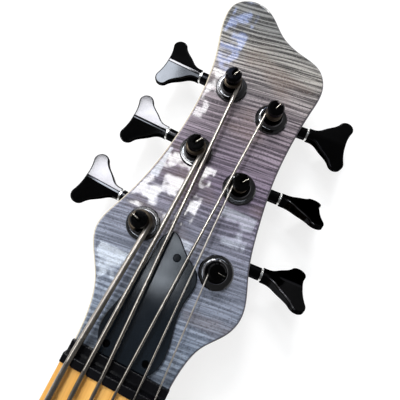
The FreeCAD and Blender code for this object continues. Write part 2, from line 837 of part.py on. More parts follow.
def gear_outline(turn, height):
    """Closed outline of the worm wheel's teeth, with one tooth pointing at the worm."""
    slope = math.tan(math.radians(tooth_flank))
    tip = gear_pitch_radius + tooth_addendum
    root = gear_pitch_radius - tooth_dedendum
    half_tip = (tooth_thickness / 2.0 - tooth_addendum * slope) / tip
    half_root = (tooth_thickness / 2.0 + tooth_dedendum * slope) / root
    points = []
    for tooth in range(gear_teeth):
        middle = math.pi / 2.0 + 2.0 * math.pi * tooth / gear_teeth + turn
        for radius, offset in ((root, -half_root), (tip, -half_tip), (tip, half_tip), (root, half_root)):
            points.append(V(radius * math.cos(middle + offset), radius * math.sin(middle + offset), height))
    return Part.makePolygon(points + [points[0]])


def tuner_gear():
    lean = worm_lead / (2.0 * math.pi * worm_pitch_radius) * gear_thickness / 2.0 / gear_pitch_radius
    low = gear_outline(-lean, gear_top - gear_thickness)
    high = gear_outline(lean, gear_top)
    wheel = Part.makeLoft([low, high], True, True)
    below = V(0, 0, gear_top - gear_thickness * 1.5)
    return wheel.cut(Part.makeCylinder(post_seat_radius, gear_thickness * 2, below))


def worm_thread():
    """Right-handed worm thread along +Z, centred on z = 0."""
    length = worm_turns * worm_lead
    slope = math.tan(math.radians(tooth_flank))
    root = worm_pitch_radius - tooth_dedendum - 0.15
    tip = worm_pitch_radius + tooth_addendum
    half_root = tooth_thickness / 2.0 + (worm_pitch_radius - root) * slope
    half_tip = tooth_thickness / 2.0 - tooth_addendum * slope
    corners = [V(root, 0, -half_root), V(tip, 0, -half_tip), V(tip, 0, half_tip), V(root, 0, half_root)]
    profile = Part.makePolygon(corners + [corners[0]])
    path = Part.makeHelix(worm_lead, length, worm_pitch_radius)
    return path.makePipeShell([profile], True, True).translated(V(0, 0, -length / 2.0))


def worm_shaft():
    """Steel shaft along +Z from its inner journal through the worm to the key's seat."""
    root = worm_pitch_radius - tooth_dedendum
    worm_half = ear_gap - shaft_collar_width
    core = turned((
        (0, -ear_inner - 0.4), (journal_radius, -ear_inner - 0.4), (journal_radius, -ear_gap + 0.3),
        (root, -ear_gap + 0.3), (root, worm_half), (shaft_collar_radius, worm_half),
        (shaft_collar_radius, ear_gap), (shaft_radius, ear_gap),
        (shaft_radius, key_start + key_socket_depth), (0, key_start + key_socket_depth),
    ))
    shape = core.fuse(worm_thread())
    shape.Placement = FreeCAD.Placement(V(0, worm_y, worm_z), shaft_turn())
    return shape


def shaft_turn():
    """Turn from +Z to the shaft's direction, +X, with +X going to +Y."""
    return FreeCAD.Rotation(Y_AXIS, Z_AXIS, X_AXIS, "ZXY")


def tuner_plate():
    """Cast plate behind the headstock with the shaft's inner ear and its outer sleeve."""
    tip_side = worm_y + plate_tip_margin
    base = rounded_prism(-plate_inner, plate_outer, -plate_nut_side, tip_side,
                         plate_bottom, -head_thickness, plate_round)
    half = sleeve_radius
    ear = box(-ear_inner, -ear_gap, worm_y - half, worm_y + half, worm_z, plate_bottom)
    ear = ear.fuse(cylinder(half, V(-ear_inner, worm_y, worm_z), V(-ear_gap, worm_y, worm_z)))
    sleeve_start = ear_gap + 0.1
    web = box(sleeve_start, plate_outer, worm_y - half, worm_y + half, worm_z, plate_bottom)
    sleeve = cylinder(half, V(sleeve_start, worm_y, worm_z), V(sleeve_end, worm_y, worm_z))
    shape = base.fuse([ear, web, sleeve]).removeSplitter()
    bores = (
        (journal_radius, -plate_inner, -ear_gap + 0.1),
        (shaft_radius, 0, sleeve_end + 1),
    )
    for radius, near, far in bores:
        bore = cylinder(radius + running_clearance, V(near, worm_y, worm_z), V(far, worm_y, worm_z))
        shape = shape.cut(bore)
    shape = shape.cut(Part.makeCylinder(bore_radius, head_thickness * 3, V(0, 0, -head_thickness * 2)))
    for x, y in (plate_screw_inner, plate_screw_outer):
        shape = shape.cut(cylinder(plate_screw_radius, V(x, y, plate_bottom - 1), V(x, y, 0)))
    return shape


def plate_screw():
    """Screw whose head seats on the plate's underside and whose shank runs towards the face."""
    return turned((
        (0, -1.5), (plate_screw_head * 0.6, -1.5), (plate_screw_head, -0.6), (plate_screw_head, 0),
        (plate_screw_radius, 0), (plate_screw_radius, plate_screw_length - 2.0), (0, plate_screw_length),
    ))


def key_ring():
    ring = turned((
        (shaft_radius + running_clearance, 0), (ring_radius, 0),
        (ring_radius, ring_width), (shaft_radius + running_clearance, ring_width),
    ))
    return aimed(ring, V(ring_start, worm_y, worm_z), X_AXIS)


def key_outline():
    """Two-lobed outline of the key in its own plane, from the ring outward along +X."""
    start = key_start - key_origin
    stem = key_stem_radius
    reach, spread, lobe = key_lobe_reach, key_lobe_spread, key_lobe_radius

    def on_lobe(angle):
        turn = math.radians(angle)
        return V(reach + lobe * math.cos(turn), spread + lobe * math.sin(turn), 0)

    setback = key_end_reach - reach
    hollow = (setback ** 2 + spread ** 2 - lobe ** 2) / (2.0 * (lobe - setback))
    leave = math.degrees(math.atan2(-spread, hollow + setback))
    inner, crown, outer = on_lobe(152.0), on_lobe(70.0), on_lobe(leave)
    neck_end = V(start + 2.0, stem, 0)
    climb = V(math.sin(math.radians(152.0)), -math.cos(math.radians(152.0)), 0)
    shoulder = Part.BSplineCurve()
    shoulder.interpolate([neck_end, V(reach * 0.46, spread * 0.6, 0), inner],
                         InitialTangent=V(8, 0, 0), FinalTangent=climb * 10.0)
    half = [
        Part.makeLine(V(start, stem, 0), neck_end), shoulder.toShape(),
        Part.Arc(inner, crown, outer).toShape(),
    ]
    other = [edge.mirror(ORIGIN, Y_AXIS) for edge in half]
    across = Part.Arc(outer, V(key_end_reach, 0, 0), V(outer.x, -outer.y, 0)).toShape()
    stem_end = Part.makeLine(V(start, stem, 0), V(start, -stem, 0))
    return Part.Wire(Part.__sortEdges__(half + other + [across, stem_end]))


def tuner_key(turn):
    """Cast key with roof-shaped faces and a socket for the shaft, turned about the shaft."""
    thick = key_thickness / 2.0
    edge = key_edge_thickness / 2.0
    wide = key_lobe_spread + key_lobe_radius + 1.0
    ridge = key_ridge_width / 2.0
    blade = Part.Face(key_outline()).extrude(V(0, 0, key_thickness)).translated(V(0, 0, -thick))
    roof = polygon_face([
        V(-1, wide, edge), V(-1, ridge, thick), V(-1, -ridge, thick), V(-1, -wide, edge),
        V(-1, -wide, -edge), V(-1, -ridge, -thick), V(-1, ridge, -thick), V(-1, wide, -edge),
    ]).extrude(V(key_lobe_reach * 2, 0, 0))
    creases = [line for line in roof.Edges
               if line.Length > key_lobe_reach and abs(line.CenterOfMass.y) < wide / 2]
    shape = blade.common(roof.makeFillet(key_crease_round, creases))
    shape = shape.makeFillet(key_round, [line for line in shape.Edges if rim_of_key(line)])
    start = key_start - key_origin
    shape = shape.cut(cylinder(shaft_radius, V(start - 1, 0, 0), V(start + key_socket_depth, 0, 0)))
    shape.Placement = FreeCAD.Placement(V(key_origin, worm_y, worm_z), FreeCAD.Rotation(X_AXIS, turn))
    return shape


def rim_of_key(edge):
    """True for the edges between a key's faces and its side, except at the stem's end."""
    middle = edge.valueAt((edge.FirstParameter + edge.LastParameter) / 2.0)
    along_ridge = abs(middle.y) < key_ridge_width and middle.x < key_end_reach - 1.0
    upright = abs(edge.tangentAt(edge.FirstParameter).z) > 0.9
    at_stem_end = middle.x < key_start - key_origin + 0.1
    return not (along_ridge or upright or at_stem_end)


# Strings

def tangent_arc(start, corner, end):
    """Arc that leaves start towards corner and reaches end from it, both equally far from the corner."""
    chord_middle = (start + end) * 0.5
    rise = corner - chord_middle
    half_chord = (end - start).Length / 2.0
    half_turn = math.atan2(rise.Length, half_chord)
    share = math.tan(half_turn / 2.0) / math.tan(half_turn)
    return Part.Arc(start, chord_middle + rise * share, end).toShape()


def biarc(start, start_way, end, end_way):
    """Two arcs that join two points smoothly, with the given directions at both."""
    span = end - start
    ways = start_way + end_way
    bend = 2.0 * (1.0 - start_way.dot(end_way))
    along = span.dot(ways)
    reach = (math.sqrt(along * along + bend * span.dot(span)) - along) / bend
    first = start + start_way * reach
    second = end - end_way * reach
    middle = (first + second) * 0.5
    return [tangent_arc(start, first, middle), tangent_arc(middle, second, end)]


def winding_quarters(index):
    gauge = string_gauges[index]
    room = post_waist_top - post_waist_bottom - 2 * winding_clearance - gauge
    turns = min(winding_most_turns, room / (gauge + winding_gap))
    return int(turns * 4)


def winding_point(index, angle, quarters):
    """Point and direction on a string's winding after a number of quarter turns."""
    s, t, _, _ = tuner_places[index]
    side = 1.0 if t > 0 else -1.0
    radius, height = post_winding(index)
    rise = string_gauges[index] + winding_gap
    turn = angle + side * quarters * math.pi / 2.0
    point = V(s + radius * math.cos(turn), t + radius * math.sin(turn), height + rise * quarters / 4.0)
    way = V(-side * math.sin(turn) * radius, side * math.cos(turn) * radius, rise / (2.0 * math.pi))
    place = head_place.multVec(point)
    return place, head_place.Rotation.multVec(way.normalize())


def bend_edges(before, corner, after, radius):
    """Tangent arc round a corner, with the points where it starts and ends."""
    into = (corner - before).normalize()
    away = (after - corner).normalize()
    turn = into.getAngle(away)
    reach = radius * math.tan(turn / 2.0)
    start = corner - into * reach
    end = corner + away * reach
    return start, tangent_arc(start, corner, end), end


def string(index):
    gauge = string_gauges[index]
    anchor, crest, nut_point, touch, angle = string_corners(index)
    lead_point, lead_way = winding_point(index, angle, 0)
    crest_radius = saddle_roller_radius + gauge / 2.0
    saddle_in, saddle_arc, saddle_out = bend_edges(anchor, crest, nut_point, crest_radius)
    nut_in, nut_arc, nut_out = bend_edges(crest, nut_point, touch, string_bend_radius)
    run_end = nut_out + (touch - nut_out) * 0.97
    edges = [
        Part.makeLine(anchor, saddle_in), saddle_arc, Part.makeLine(saddle_out, nut_in), nut_arc,
        Part.makeLine(nut_out, run_end),
    ]
    quarters = winding_quarters(index)
    points = [(run_end, (touch - nut_out).normalize())]
    points += [winding_point(index, angle, count) for count in range(quarters + 1)]
    for (start, start_way), (end, end_way) in zip(points, points[1:]):
        edges += biarc(start, start_way, end, end_way)
    path = Part.Wire(edges)
    way = (crest - anchor).normalize()
    ring = Part.Wire(Part.makeCircle(gauge / 2.0, anchor, way))
    tube = path.makePipeShell([ring], True, False)
    ball = Part.makeCylinder(ball_radius, ball_length, anchor - way * ball_length / 2.0, way)
    print("string", index + 1, "turns", quarters / 4.0, "gap", round(least_gap(edges[5:], gauge), 2),
          "volume share", round(tube.Volume / (math.pi * gauge * gauge / 4.0 * path.Length), 4))
    return ball.fuse(tube)


def least_gap(edges, gauge):
    """Least distance between turns of a winding, measured on points half a turn or more apart."""
    points = []
    for edge in edges:
        points += edge.discretize(5)[:-1]
    half_turn = 16
    gaps = [(first - second).Length - gauge for index, first in enumerate(points)
            for second in points[index + half_turn:]]
    return min(gaps) if gaps else gauge


# Bridge

def anchor_hole_frames():
    for index in range(string_count):
        anchor, crest, _, _, _ = string_corners(index)
        yield index, anchor, (crest - anchor).normalize()


def bridge_plate():
    z0 = body_top_z
    z1 = z0 + bridge_plate_thickness
    plate = rounded_prism(bridge_back, bridge_front, -bridge_half_width, bridge_half_width,
                          z0, z1, bridge_corner_round)
    wall = box(bridge_back, bridge_back + bridge_wall_thickness, -bridge_half_width + bridge_corner_round,
               bridge_half_width - bridge_corner_round, z0, z1 + bridge_wall_height)
    shape = plate.fuse(wall).removeSplitter()
    for index, anchor, way in anchor_hole_frames():
        radius = string_gauges[index] / 2.0 + nut_slot_clearance
        shape = shape.cut(cylinder(radius, anchor, anchor + way * bridge_wall_thickness * 3))
        y = string_y(index, 0)
        height = z1 + intonation_screw_height
        shape = shape.cut(cylinder(saddle_screw_radius + fixed_clearance, V(bridge_back - 1, y, height),
                                   V(bridge_back + bridge_wall_thickness + 1, y, height)))
        pocket_end = anchor + way * (ball_length / 2.0 + 0.2)
        shape = shape.cut(cylinder(ball_radius + 0.2, anchor - way * ball_length, pocket_end))
    for x, y in bridge_screw_places():
        shape = shape.cut(cylinder(wood_screw_radius, V(x, y, z0 - 1), V(x, y, z1 + 1)))
    return shape


def saddle_screw_sets(index):
    """Two height screws and the intonation screw of one saddle."""
    base = body_top_z + bridge_plate_thickness
    y = string_y(index, 0)
    top = base + saddle_lift + saddle_body_height
    x = saddle_front - 3.0
    sides = (y - saddle_screw_spread / 2.0, y + saddle_screw_spread / 2.0)
    shapes = [cylinder(saddle_screw_radius, V(x, side, base), V(x, side, top - 0.4)) for side in sides]
    height = base + intonation_screw_height
    seat = V(bridge_back, y, height)
    pin = cylinder(saddle_screw_radius, seat, V(saddle_back + 8.0, y, height))
    head = cylinder(intonation_head_radius, V(bridge_back - intonation_head_length, y, height), seat)
    return shapes + [pin.fuse(head).removeSplitter()]


def bridge_saddle(index):
    base = body_top_z + bridge_plate_thickness + saddle_lift
    y = string_y(index, 0)
    half = saddle_width / 2.0
    block = box(saddle_back, saddle_front, y - half, y + half, base, base + saddle_body_height)
    block = block.makeFillet(1.0, edges_at_height(block, base + saddle_body_height))
    core = saddle_roller_radius
    rim = core + saddle_roller_flange
    groove = saddle_groove_width / 2.0
    roller = turned(((0, -half + 1), (rim, -half + 1), (rim, -groove - 1), (core, -groove), (core, groove),
                     (rim, groove + 1), (rim, half - 1), (0, half - 1)))
    roller = aimed(roller, V(0, y, saddle_string_z - core), Y_AXIS)
    cheek_bottom = base + saddle_body_height - 2
    cheek = box(-core, core, y - half + 1, y + half - 1, cheek_bottom, saddle_string_z - core)
    shape = block.fuse([roller, cheek]).removeSplitter()
    return shape.cut(Part.makeCompound(saddle_screw_sets(index)))


# Pickups and controls

def pickup(center_x):
    shape = pickup_block(center_x, 0.0, pickup_floor, pickup_top)
    shape = shape.makeFillet(pickup_edge_round, edges_at_height(shape, pickup_top))
    return shape.cut(Part.makeCompound(pickup_screw_pair(center_x)))


def pickup_screw_pair(center_x):
    length = pickup_top - pickup_floor + pickup_screw_depth
    screw = turned((
        (0, 0), (pickup_screw_head, 0), (pickup_screw_head, -1.6), (pickup_screw_radius, -1.6),
        (pickup_screw_radius, 2.0 - length), (0, 2.0 - length),
    ))
    reach = pickup_length / 2.0 - pickup_screw_inset
    return [screw.translated(V(center_x, side * reach, pickup_top)) for side in (-1, 1)]


def control_cover():
    lid = lid_box(lid_gap)
    for x, y in lid_screw_places():
        lid = lid.cut(lid_screw(x, y, wood_screw_head + 0.2))
        lid = lid.cut(cylinder(wood_screw_radius, V(x, y, 0), V(x, y, lid_thickness + 1)))
    return lid


def lid_screw(x, y, radius):
    """Recess for a lid screw's head."""
    return cylinder(radius, V(x, y, -1), V(x, y, wood_screw_head_height + 0.2))


def potentiometer(x, y):
    roof = body_top_z - cavity_roof
    can = Part.makeCylinder(pot_body_radius, pot_body_height, V(x, y, roof - pot_body_height))
    collar = cylinder(pot_bushing_radius, V(x, y, roof), V(x, y, body_top_z + knob_gap * 0.4))
    bore_bottom = V(x, y, roof - pot_body_height * 0.8)
    bore = cylinder(pot_shaft_radius + running_clearance, bore_bottom, V(x, y, body_top_z * 2))
    return can.fuse(collar).removeSplitter().cut(bore)


def knob(x, y):
    """A turned knob and the potentiometer shaft that it is pressed on."""
    base = body_top_z + knob_gap
    skirt = base + knob_skirt_height
    top = base + knob_height
    radius = knob_radius
    cap = turned((
        (0, base), (radius, base), (radius, skirt), (radius - knob_taper, skirt + knob_edge),
        (radius - knob_taper * 2, top - knob_edge), (radius - knob_taper * 2 - knob_edge, top), (0, top),
    ))
    shaft_bottom = body_top_z - cavity_roof - pot_body_height * 0.7
    shaft_top = base + knob_bore_depth
    flute = Part.makeCylinder(0.7, knob_height)
    ridges = []
    for step in range(20):
        angle = math.radians(18.0 * step)
        place = V(radius * math.cos(angle), radius * math.sin(angle), skirt + knob_edge)
        ridges.append(flute.translated(place))
    cap = cap.cut(Part.makeCompound(ridges)).translated(V(x, y, 0))
    cap = cap.cut(cylinder(pot_shaft_radius, V(x, y, base - 1), V(x, y, shaft_top)))
    shaft = cylinder(pot_shaft_radius, V(x, y, shaft_bottom), V(x, y, shaft_top))
    return [cap, shaft]


def preamp_board():
    """Circuit board with its component block, on the cavity's roof beside the potentiometers."""
    length, width, thick = board_size
    roof = body_top_z - cavity_roof
    x = cavity_x[0] + 16.0
    y = cavity_y[1] - width - 2.0
    board = box(x, x + length, y, y + width, roof - thick, roof)
    chip_x, chip_y, chip_z = board_chip
    chip = box(x + 4, x + 4 + chip_x, y + 2, y + 2 + chip_y, roof - thick - chip_z, roof - thick)
    return board.fuse(chip).removeSplitter()


def battery():
    """Nine-volt battery lying on the rear lid."""
    length, width, height = battery_size
    x = cavity_x[1] - cavity_round - length
    y = cavity_y[0] + cavity_round * 0.4
    return rounded_prism(x, x + length, y, y + width, lid_thickness, lid_thickness + height, 2.0)


# Jack and strap buttons

def output_jack():
    flange_y = jack_face_y()
    outward = V(0, -1, 0)
    seat = V(jack_x, flange_y, jack_z)
    inner = V(jack_x, cavity_y[0] + jack_inner_reach, jack_z)
    tube = cylinder(jack_sleeve_radius, inner, seat)
    flange = cylinder(jack_flange_radius, seat, seat + outward * jack_flange_thickness)
    mouth = seat + outward * jack_flange_thickness
    shape = tube.fuse(flange).removeSplitter()
    return shape.cut(cylinder(jack_bore_radius, mouth - outward * jack_bore_length, mouth + outward))


def strap_button():
    """Button on +Z with a recess for its screw's head."""
    head_seat = button_height - wood_screw_head_height
    shape = turned((
        (0, 0), (button_base_radius, 0), (button_base_radius, 2.0), (button_waist_radius, 3.5),
        (button_waist_radius, button_height - 5.0), (button_cap_radius, button_height - 3.0),
        (button_cap_radius, button_height - 1.0), (button_cap_radius - 1.0, button_height),
        (0, button_height),
    ))
    shape = shape.cut(Part.makeCylinder(wood_screw_radius, button_height))
    return shape.cut(Part.makeCylinder(wood_screw_head + 0.2, button_height, V(0, 0, head_seat)))


def body_screws():
    """Identical wood screws for the bridge, the rear lid and the strap buttons."""
    screw = wood_screw()
    plate_top = body_top_z + bridge_plate_thickness
    shapes = [screw.translated(V(x, y, plate_top)) for x, y in bridge_screw_places()]
    for x, y in lid_screw_places():
        shapes.append(aimed(screw, V(x, y, wood_screw_head_height + 0.2), V(0, 0, -1)))
    for seat, outward in strap_button_frames():
        shapes.append(aimed(screw, seat + outward * (button_height - wood_screw_head_height), outward))
    return shapes


def neck_screws():
    screw = turned((
        (0, 0), (neck_screw_head, 0), (neck_screw_head, neck_screw_head_height),
        (neck_screw_radius, neck_screw_head_height),
        (neck_screw_radius, neck_screw_head_height + neck_screw_length - 3.0),
        (0, neck_screw_head_height + neck_screw_length),
    ))
    return [screw.translated(V(x, y, ferrule_inset)) for x, y in neck_screw_places]


def neck_ferrules():
    seat = ferrule_inset + neck_screw_head_height
    ring = turned((
        (neck_screw_radius, seat), (neck_screw_head + 0.2, seat),
        (neck_screw_head + 0.2, ferrule_inset * 0.5), (ferrule_radius, ferrule_inset * 0.5),
        (ferrule_radius, ferrule_depth), (neck_screw_radius, ferrule_depth),
    ))
    return [ring.translated(V(x, y, 0)) for x, y in neck_screw_places]


def build():
    core, top = body_parts()
    nodes = {
        "body_core": [core],
        "body_top": [top],
        "neck": [neck()],
        "headstock_veneer": [headstock_veneer()],
        "fingerboard": [fingerboard()],
        "frets": frets(),
        "position_dots": position_dots(),
        "nut": [nut()],
        "truss_rod": [truss_rod()],
        "truss_rod_cover": [truss_rod_cover()],
        "cover_screws": cover_screws(),
        "neck_screws": neck_screws(),
        "neck_ferrules": neck_ferrules(),
        "neck_pickup": [pickup(neck_pickup_x)],
        "bridge_pickup": [pickup(bridge_pickup_x)],
        "pickup_screws": pickup_screw_pair(neck_pickup_x) + pickup_screw_pair(bridge_pickup_x),
        "bridge_plate": [bridge_plate()],
        "bridge_saddles": [bridge_saddle(index) for index in range(string_count)],
        "saddle_screws": [screw for index in range(string_count) for screw in saddle_screw_sets(index)],
        "body_screws": body_screws(),
        "strings": [string(index) for index in range(string_count)],
        "control_cover": [control_cover()],
        "potentiometers": [potentiometer(x, y) for x, y in knob_places],
        "preamp_board": [preamp_board()],
        "battery": [battery()],
        "output_jack": [output_jack()],
        "strap_buttons": [aimed(strap_button(), seat, outward) for seat, outward in strap_button_frames()],
    }
    fixed = {
        "tuner_plates": tuner_plate(),
        "tuner_bushings": tuner_bushing(),
        "tuner_washers": tuner_washer(),
        "key_rings": key_ring(),
    }
    for name, shape in fixed.items():
        nodes[name] = [on_tuner(shape, place) for place in tuner_places]
    screw = plate_screw()
    nodes["tuner_plate_screws"] = [
        on_tuner(screw.translated(V(x, y, plate_bottom)), place)
        for place in tuner_places for x, y in (plate_screw_inner, plate_screw_outer)]
    gear, shaft = tuner_gear(), worm_shaft()
    for number, place in enumerate(tuner_places, 1):
        slot_turn = post_slot_turns[number - 1]
        post = tuner_post(slot_turn if place[1] > 0 else -slot_turn)
        nodes["tuner_post_%d" % number] = [on_tuner(post, place)]
        nodes["tuner_gear_%d" % number] = [on_tuner(gear, place)]
        nodes["worm_shaft_%d" % number] = [on_tuner(shaft, place)]
        nodes["tuner_key_%d" % number] = [on_tuner(tuner_key(place[3]), place)]
    for number, (x, y) in enumerate(knob_places, 1):
        nodes["knob_%d" % number] = knob(x, y)
    return nodes


def export(nodes):
    os.makedirs("parts", exist_ok=True)
    for name, solids in nodes.items():
        shape = solids[0] if len(solids) == 1 else Part.makeCompound(solids)
        shape.exportStep("parts/%s.step" % name)
    print(len(nodes), "nodes,", sum(len(solids) for solids in nodes.values()), "solids")


export(build())
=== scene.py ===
# %% [markdown]
# # A six-string electric bass, seen close at the headstock
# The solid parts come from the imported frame: neck, headstock, tuners, body and all the hardware.
# This lesson dresses them. It sets the camera over the headstock, writes one procedural finish for
# each real material, remakes the strings as wound wire, and lays a pale floor under the light of a room.

# %% Load the frame
import math

import bmesh
import bpy
from mathutils import Matrix, Vector


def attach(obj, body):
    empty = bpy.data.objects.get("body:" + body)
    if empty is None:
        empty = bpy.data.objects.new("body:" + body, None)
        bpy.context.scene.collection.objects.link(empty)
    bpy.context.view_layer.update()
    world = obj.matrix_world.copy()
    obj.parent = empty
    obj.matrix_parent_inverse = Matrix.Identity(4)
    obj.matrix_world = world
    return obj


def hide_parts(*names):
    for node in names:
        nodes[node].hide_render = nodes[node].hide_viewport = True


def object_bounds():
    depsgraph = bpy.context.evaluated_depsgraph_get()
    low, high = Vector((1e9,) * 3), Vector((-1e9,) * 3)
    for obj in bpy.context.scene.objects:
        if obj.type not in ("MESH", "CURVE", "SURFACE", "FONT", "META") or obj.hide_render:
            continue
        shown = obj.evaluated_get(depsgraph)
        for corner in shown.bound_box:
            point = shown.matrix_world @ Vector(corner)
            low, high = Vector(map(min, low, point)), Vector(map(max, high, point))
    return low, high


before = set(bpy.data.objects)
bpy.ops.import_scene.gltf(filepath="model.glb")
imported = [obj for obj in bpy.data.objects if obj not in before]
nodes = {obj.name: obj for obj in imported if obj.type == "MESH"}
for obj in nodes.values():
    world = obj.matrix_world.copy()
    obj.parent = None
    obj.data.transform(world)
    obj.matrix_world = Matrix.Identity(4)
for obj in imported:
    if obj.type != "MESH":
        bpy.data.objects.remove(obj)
cad_low, cad_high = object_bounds()
MM = 0.001
scene = bpy.context.scene
scene.view_settings.view_transform = "Standard"
print(len(nodes), "solid pieces, box from", tuple(cad_low), "to", tuple(cad_high))

# %% [markdown]
# ## The headstock's own frame
# Nearly everything in the picture sits on the headstock, which leans back from the neck.
# Measuring along it (s, from the nut), across it (t, to the bass side) and above its face (h)
# keeps every later number the size that a ruler on the real thing would show, in millimetres.

# %% Headstock frame
SCALE_LENGTH = 864.0
NUT_THICKNESS = 4.6
HEAD_FACE_Z = 55.0
HEAD_ANGLE = math.radians(5.0)
HEAD_TIP = (228.0, 28.0, 0.0)
HEAD_X = SCALE_LENGTH + NUT_THICKNESS
head_start = Vector((HEAD_X, 0, HEAD_FACE_Z)) * MM
head_place = Matrix.Translation(head_start) @ Matrix.Rotation(HEAD_ANGLE, 4, "Y")


def head_point(s, t, h):
    """World place of a point given in millimetres on the headstock."""
    return head_place @ (Vector((s, t, h)) * MM)


print("tip of the headstock near", head_point(*HEAD_TIP))

# %% [markdown]
# ## Camera
# The picture was taken with a wide lens held about a hand's length over the face.
# The place of the lens, the point that it looks at and the turn of the picture were measured
# from the spread of the tuners, so they are written in the headstock's frame.

# %% Camera
EYE = (59.9, -16.3, 183.4)
LOOK_AT = (97.3, 1.4, 0.0)
PICTURE_TURN = math.radians(26.0)
FOCAL_SHARE = 0.85
SENSOR_MM = 36.0
CLIP_START = 0.01

eye = head_point(*EYE)
ahead = (head_point(*LOOK_AT) - eye).normalized()
upward = head_place.to_3x3() @ Vector((math.cos(PICTURE_TURN), math.sin(PICTURE_TURN), 0))
sideways = ahead.cross(upward).normalized()
upward = sideways.cross(ahead)
camera = bpy.data.objects.new("picture_camera", bpy.data.cameras.new("picture_camera"))
scene.collection.objects.link(camera)
camera.matrix_world = Matrix.Translation(eye) @ Matrix((sideways, upward, -ahead)).transposed().to_4x4()
camera.data.sensor_width = SENSOR_MM
camera.data.lens = SENSOR_MM * FOCAL_SHARE
camera.data.clip_start = CLIP_START
scene.camera = camera
print("lens", round(camera.data.lens, 2), "mm at", tuple(round(c, 3) for c in eye))

# %% [markdown]
# ## Writing shader maths as Python
# A finish is a graph of nodes. Written as calls it is hard to read, so a small class wraps one
# output socket and lets `+`, `-`, `*` and `/` add the Math nodes.

# %% Taps


class Tap:
    """One output of a shader node, on which Python's operators add Math nodes."""

    def __init__(self, graph, socket):
        self.graph = graph
        self.socket = socket

    def maths(self, operation, *values):
        return self.graph.add("ShaderNodeMath", {"operation": operation}, dict(enumerate(values)))

    def __add__(self, other):
        return self.maths("ADD", self, other)

    __radd__ = __add__

    def __sub__(self, other):
        return self.maths("SUBTRACT", self, other)

    def __rsub__(self, other):
        return self.maths("SUBTRACT", other, self)

    def __mul__(self, other):
        return self.maths("MULTIPLY", self, other)

    __rmul__ = __mul__

    def __truediv__(self, other):
        return self.maths("DIVIDE", self, other)

    def __rtruediv__(self, other):
        return self.maths("DIVIDE", other, self)

    def sine(self):
        return self.maths("SINE", self)

    def ease(self, low, high):
        """0 below low, 1 above high, smooth between."""
        return self.graph.add("ShaderNodeMapRange", {"interpolation_type": "SMOOTHSTEP"},
                              {0: self, 1: low, 2: high, 3: 0.0, 4: 1.0})


print("taps take + - * / and ease")

# %% [markdown]
# Every other node comes from one method: it makes a node of some kind, applies its settings, and then
# fills its sockets with values or links. Materials, lamps and the world all have such a graph.

# %% Graphs
NOISE_ROUGHNESS = 0.55


def rgba(colour):
    return tuple(colour) + (1.0,) * (4 - len(colour))


class Graph:
    """A node tree of a material, a lamp or the world, and the nodes that it gets."""

    def __init__(self, tree):
        self.tree = tree
        tree.nodes.clear()

    def add(self, kind, settings=None, inputs=None, output=0):
        """Adds one node: its settings first, then the values or links of its sockets."""
        node = self.tree.nodes.new(kind)
        for key, value in (settings or {}).items():
            if key == "stops":
                self.set_stops(node.color_ramp, value)
            else:
                setattr(node, key, value)
        for key, value in (inputs or {}).items():
            if isinstance(value, Tap):
                self.tree.links.new(value.socket, node.inputs[key])
            else:
                node.inputs[key].default_value = value
        return Tap(self, node.outputs[output]) if node.outputs else node

    def set_stops(self, ramp, stops):
        while len(ramp.elements) < len(stops):
            ramp.elements.new(1.0)
        for element, (position, colour) in zip(ramp.elements, stops):
            element.position = position
            element.color = rgba(colour)

    def split(self, vector):
        return [self.add("ShaderNodeSeparateXYZ", None, {0: vector}, axis) for axis in "XYZ"]

    def vector(self, x, y, z):
        return self.add("ShaderNodeCombineXYZ", None, {0: x, 1: y, 2: z})

    def noise(self, vector, scale, detail, roughness=NOISE_ROUGHNESS):
        return self.add("ShaderNodeTexNoise", None,
                        {"Vector": vector, "Scale": scale, "Detail": detail, "Roughness": roughness})

    def ramp(self, factor, stops):
        return self.add("ShaderNodeValToRGB", {"stops": stops}, {0: factor})

    def mix(self, mask, first, second):
        """A colour between two colours, by the colour sockets that a Mix node keeps after its others."""
        pair = [value if isinstance(value, Tap) else rgba(value) for value in (first, second)]
        return self.add("ShaderNodeMix", {"data_type": "RGBA"}, {0: mask, 6: pair[0], 7: pair[1]}, 2)


print("graphs ready")

# %% [markdown]
# A finish is the graph of one material. It starts from Object coordinates, because every piece's mesh
# is stored where it stands on the instrument, so a pattern measured in millimetres stays on its piece.

# %% Finishes


class Finish(Graph):
    """A material, with the ready-made inputs that its nodes start from."""

    def __init__(self, name):
        self.material = bpy.data.materials.new(name)
        self.material.use_nodes = True
        super().__init__(self.material.node_tree)
        self.place = self.add("ShaderNodeTexCoord", output="Object")

    def axes(self):
        """The surface point's x, y and z in millimetres."""
        return [part * (1.0 / MM) for part in self.split(self.place)]

    def grain(self, point, rates, detail, roughness=NOISE_ROUGHNESS):
        """Noise on a point in millimetres, with a rate of its own along each axis."""
        place = self.vector(*(part * rate for part, rate in zip(point, rates)))
        return self.noise(place, 1.0, detail, roughness)

    def facing(self, way):
        """1 where the surface looks along a direction, 0 where it stands on edge to it."""
        normal = self.add("ShaderNodeNewGeometry", output="Normal")
        return self.add("ShaderNodeVectorMath", {"operation": "DOT_PRODUCT"}, {0: normal, 1: way}, "Value")

    def bump(self, height, distance, strength):
        return self.add("ShaderNodeBump", None,
                        {"Height": height, "Distance": distance, "Strength": strength})

    def surface(self, **inputs):
        """The finished shader; an underscore in a name stands for a space."""
        named = {key.replace("_", " "): value for key, value in inputs.items()}
        shader = self.add("ShaderNodeBsdfPrincipled", None, named)
        self.add("ShaderNodeOutputMaterial", None, {0: shader})
        return self.material


def dress(material, *names):
    """Gives solid pieces of the frame a finish."""
    for name in names:
        slots = nodes[name].data.materials
        slots.clear()
        slots.append(material)


print("finishes ready")

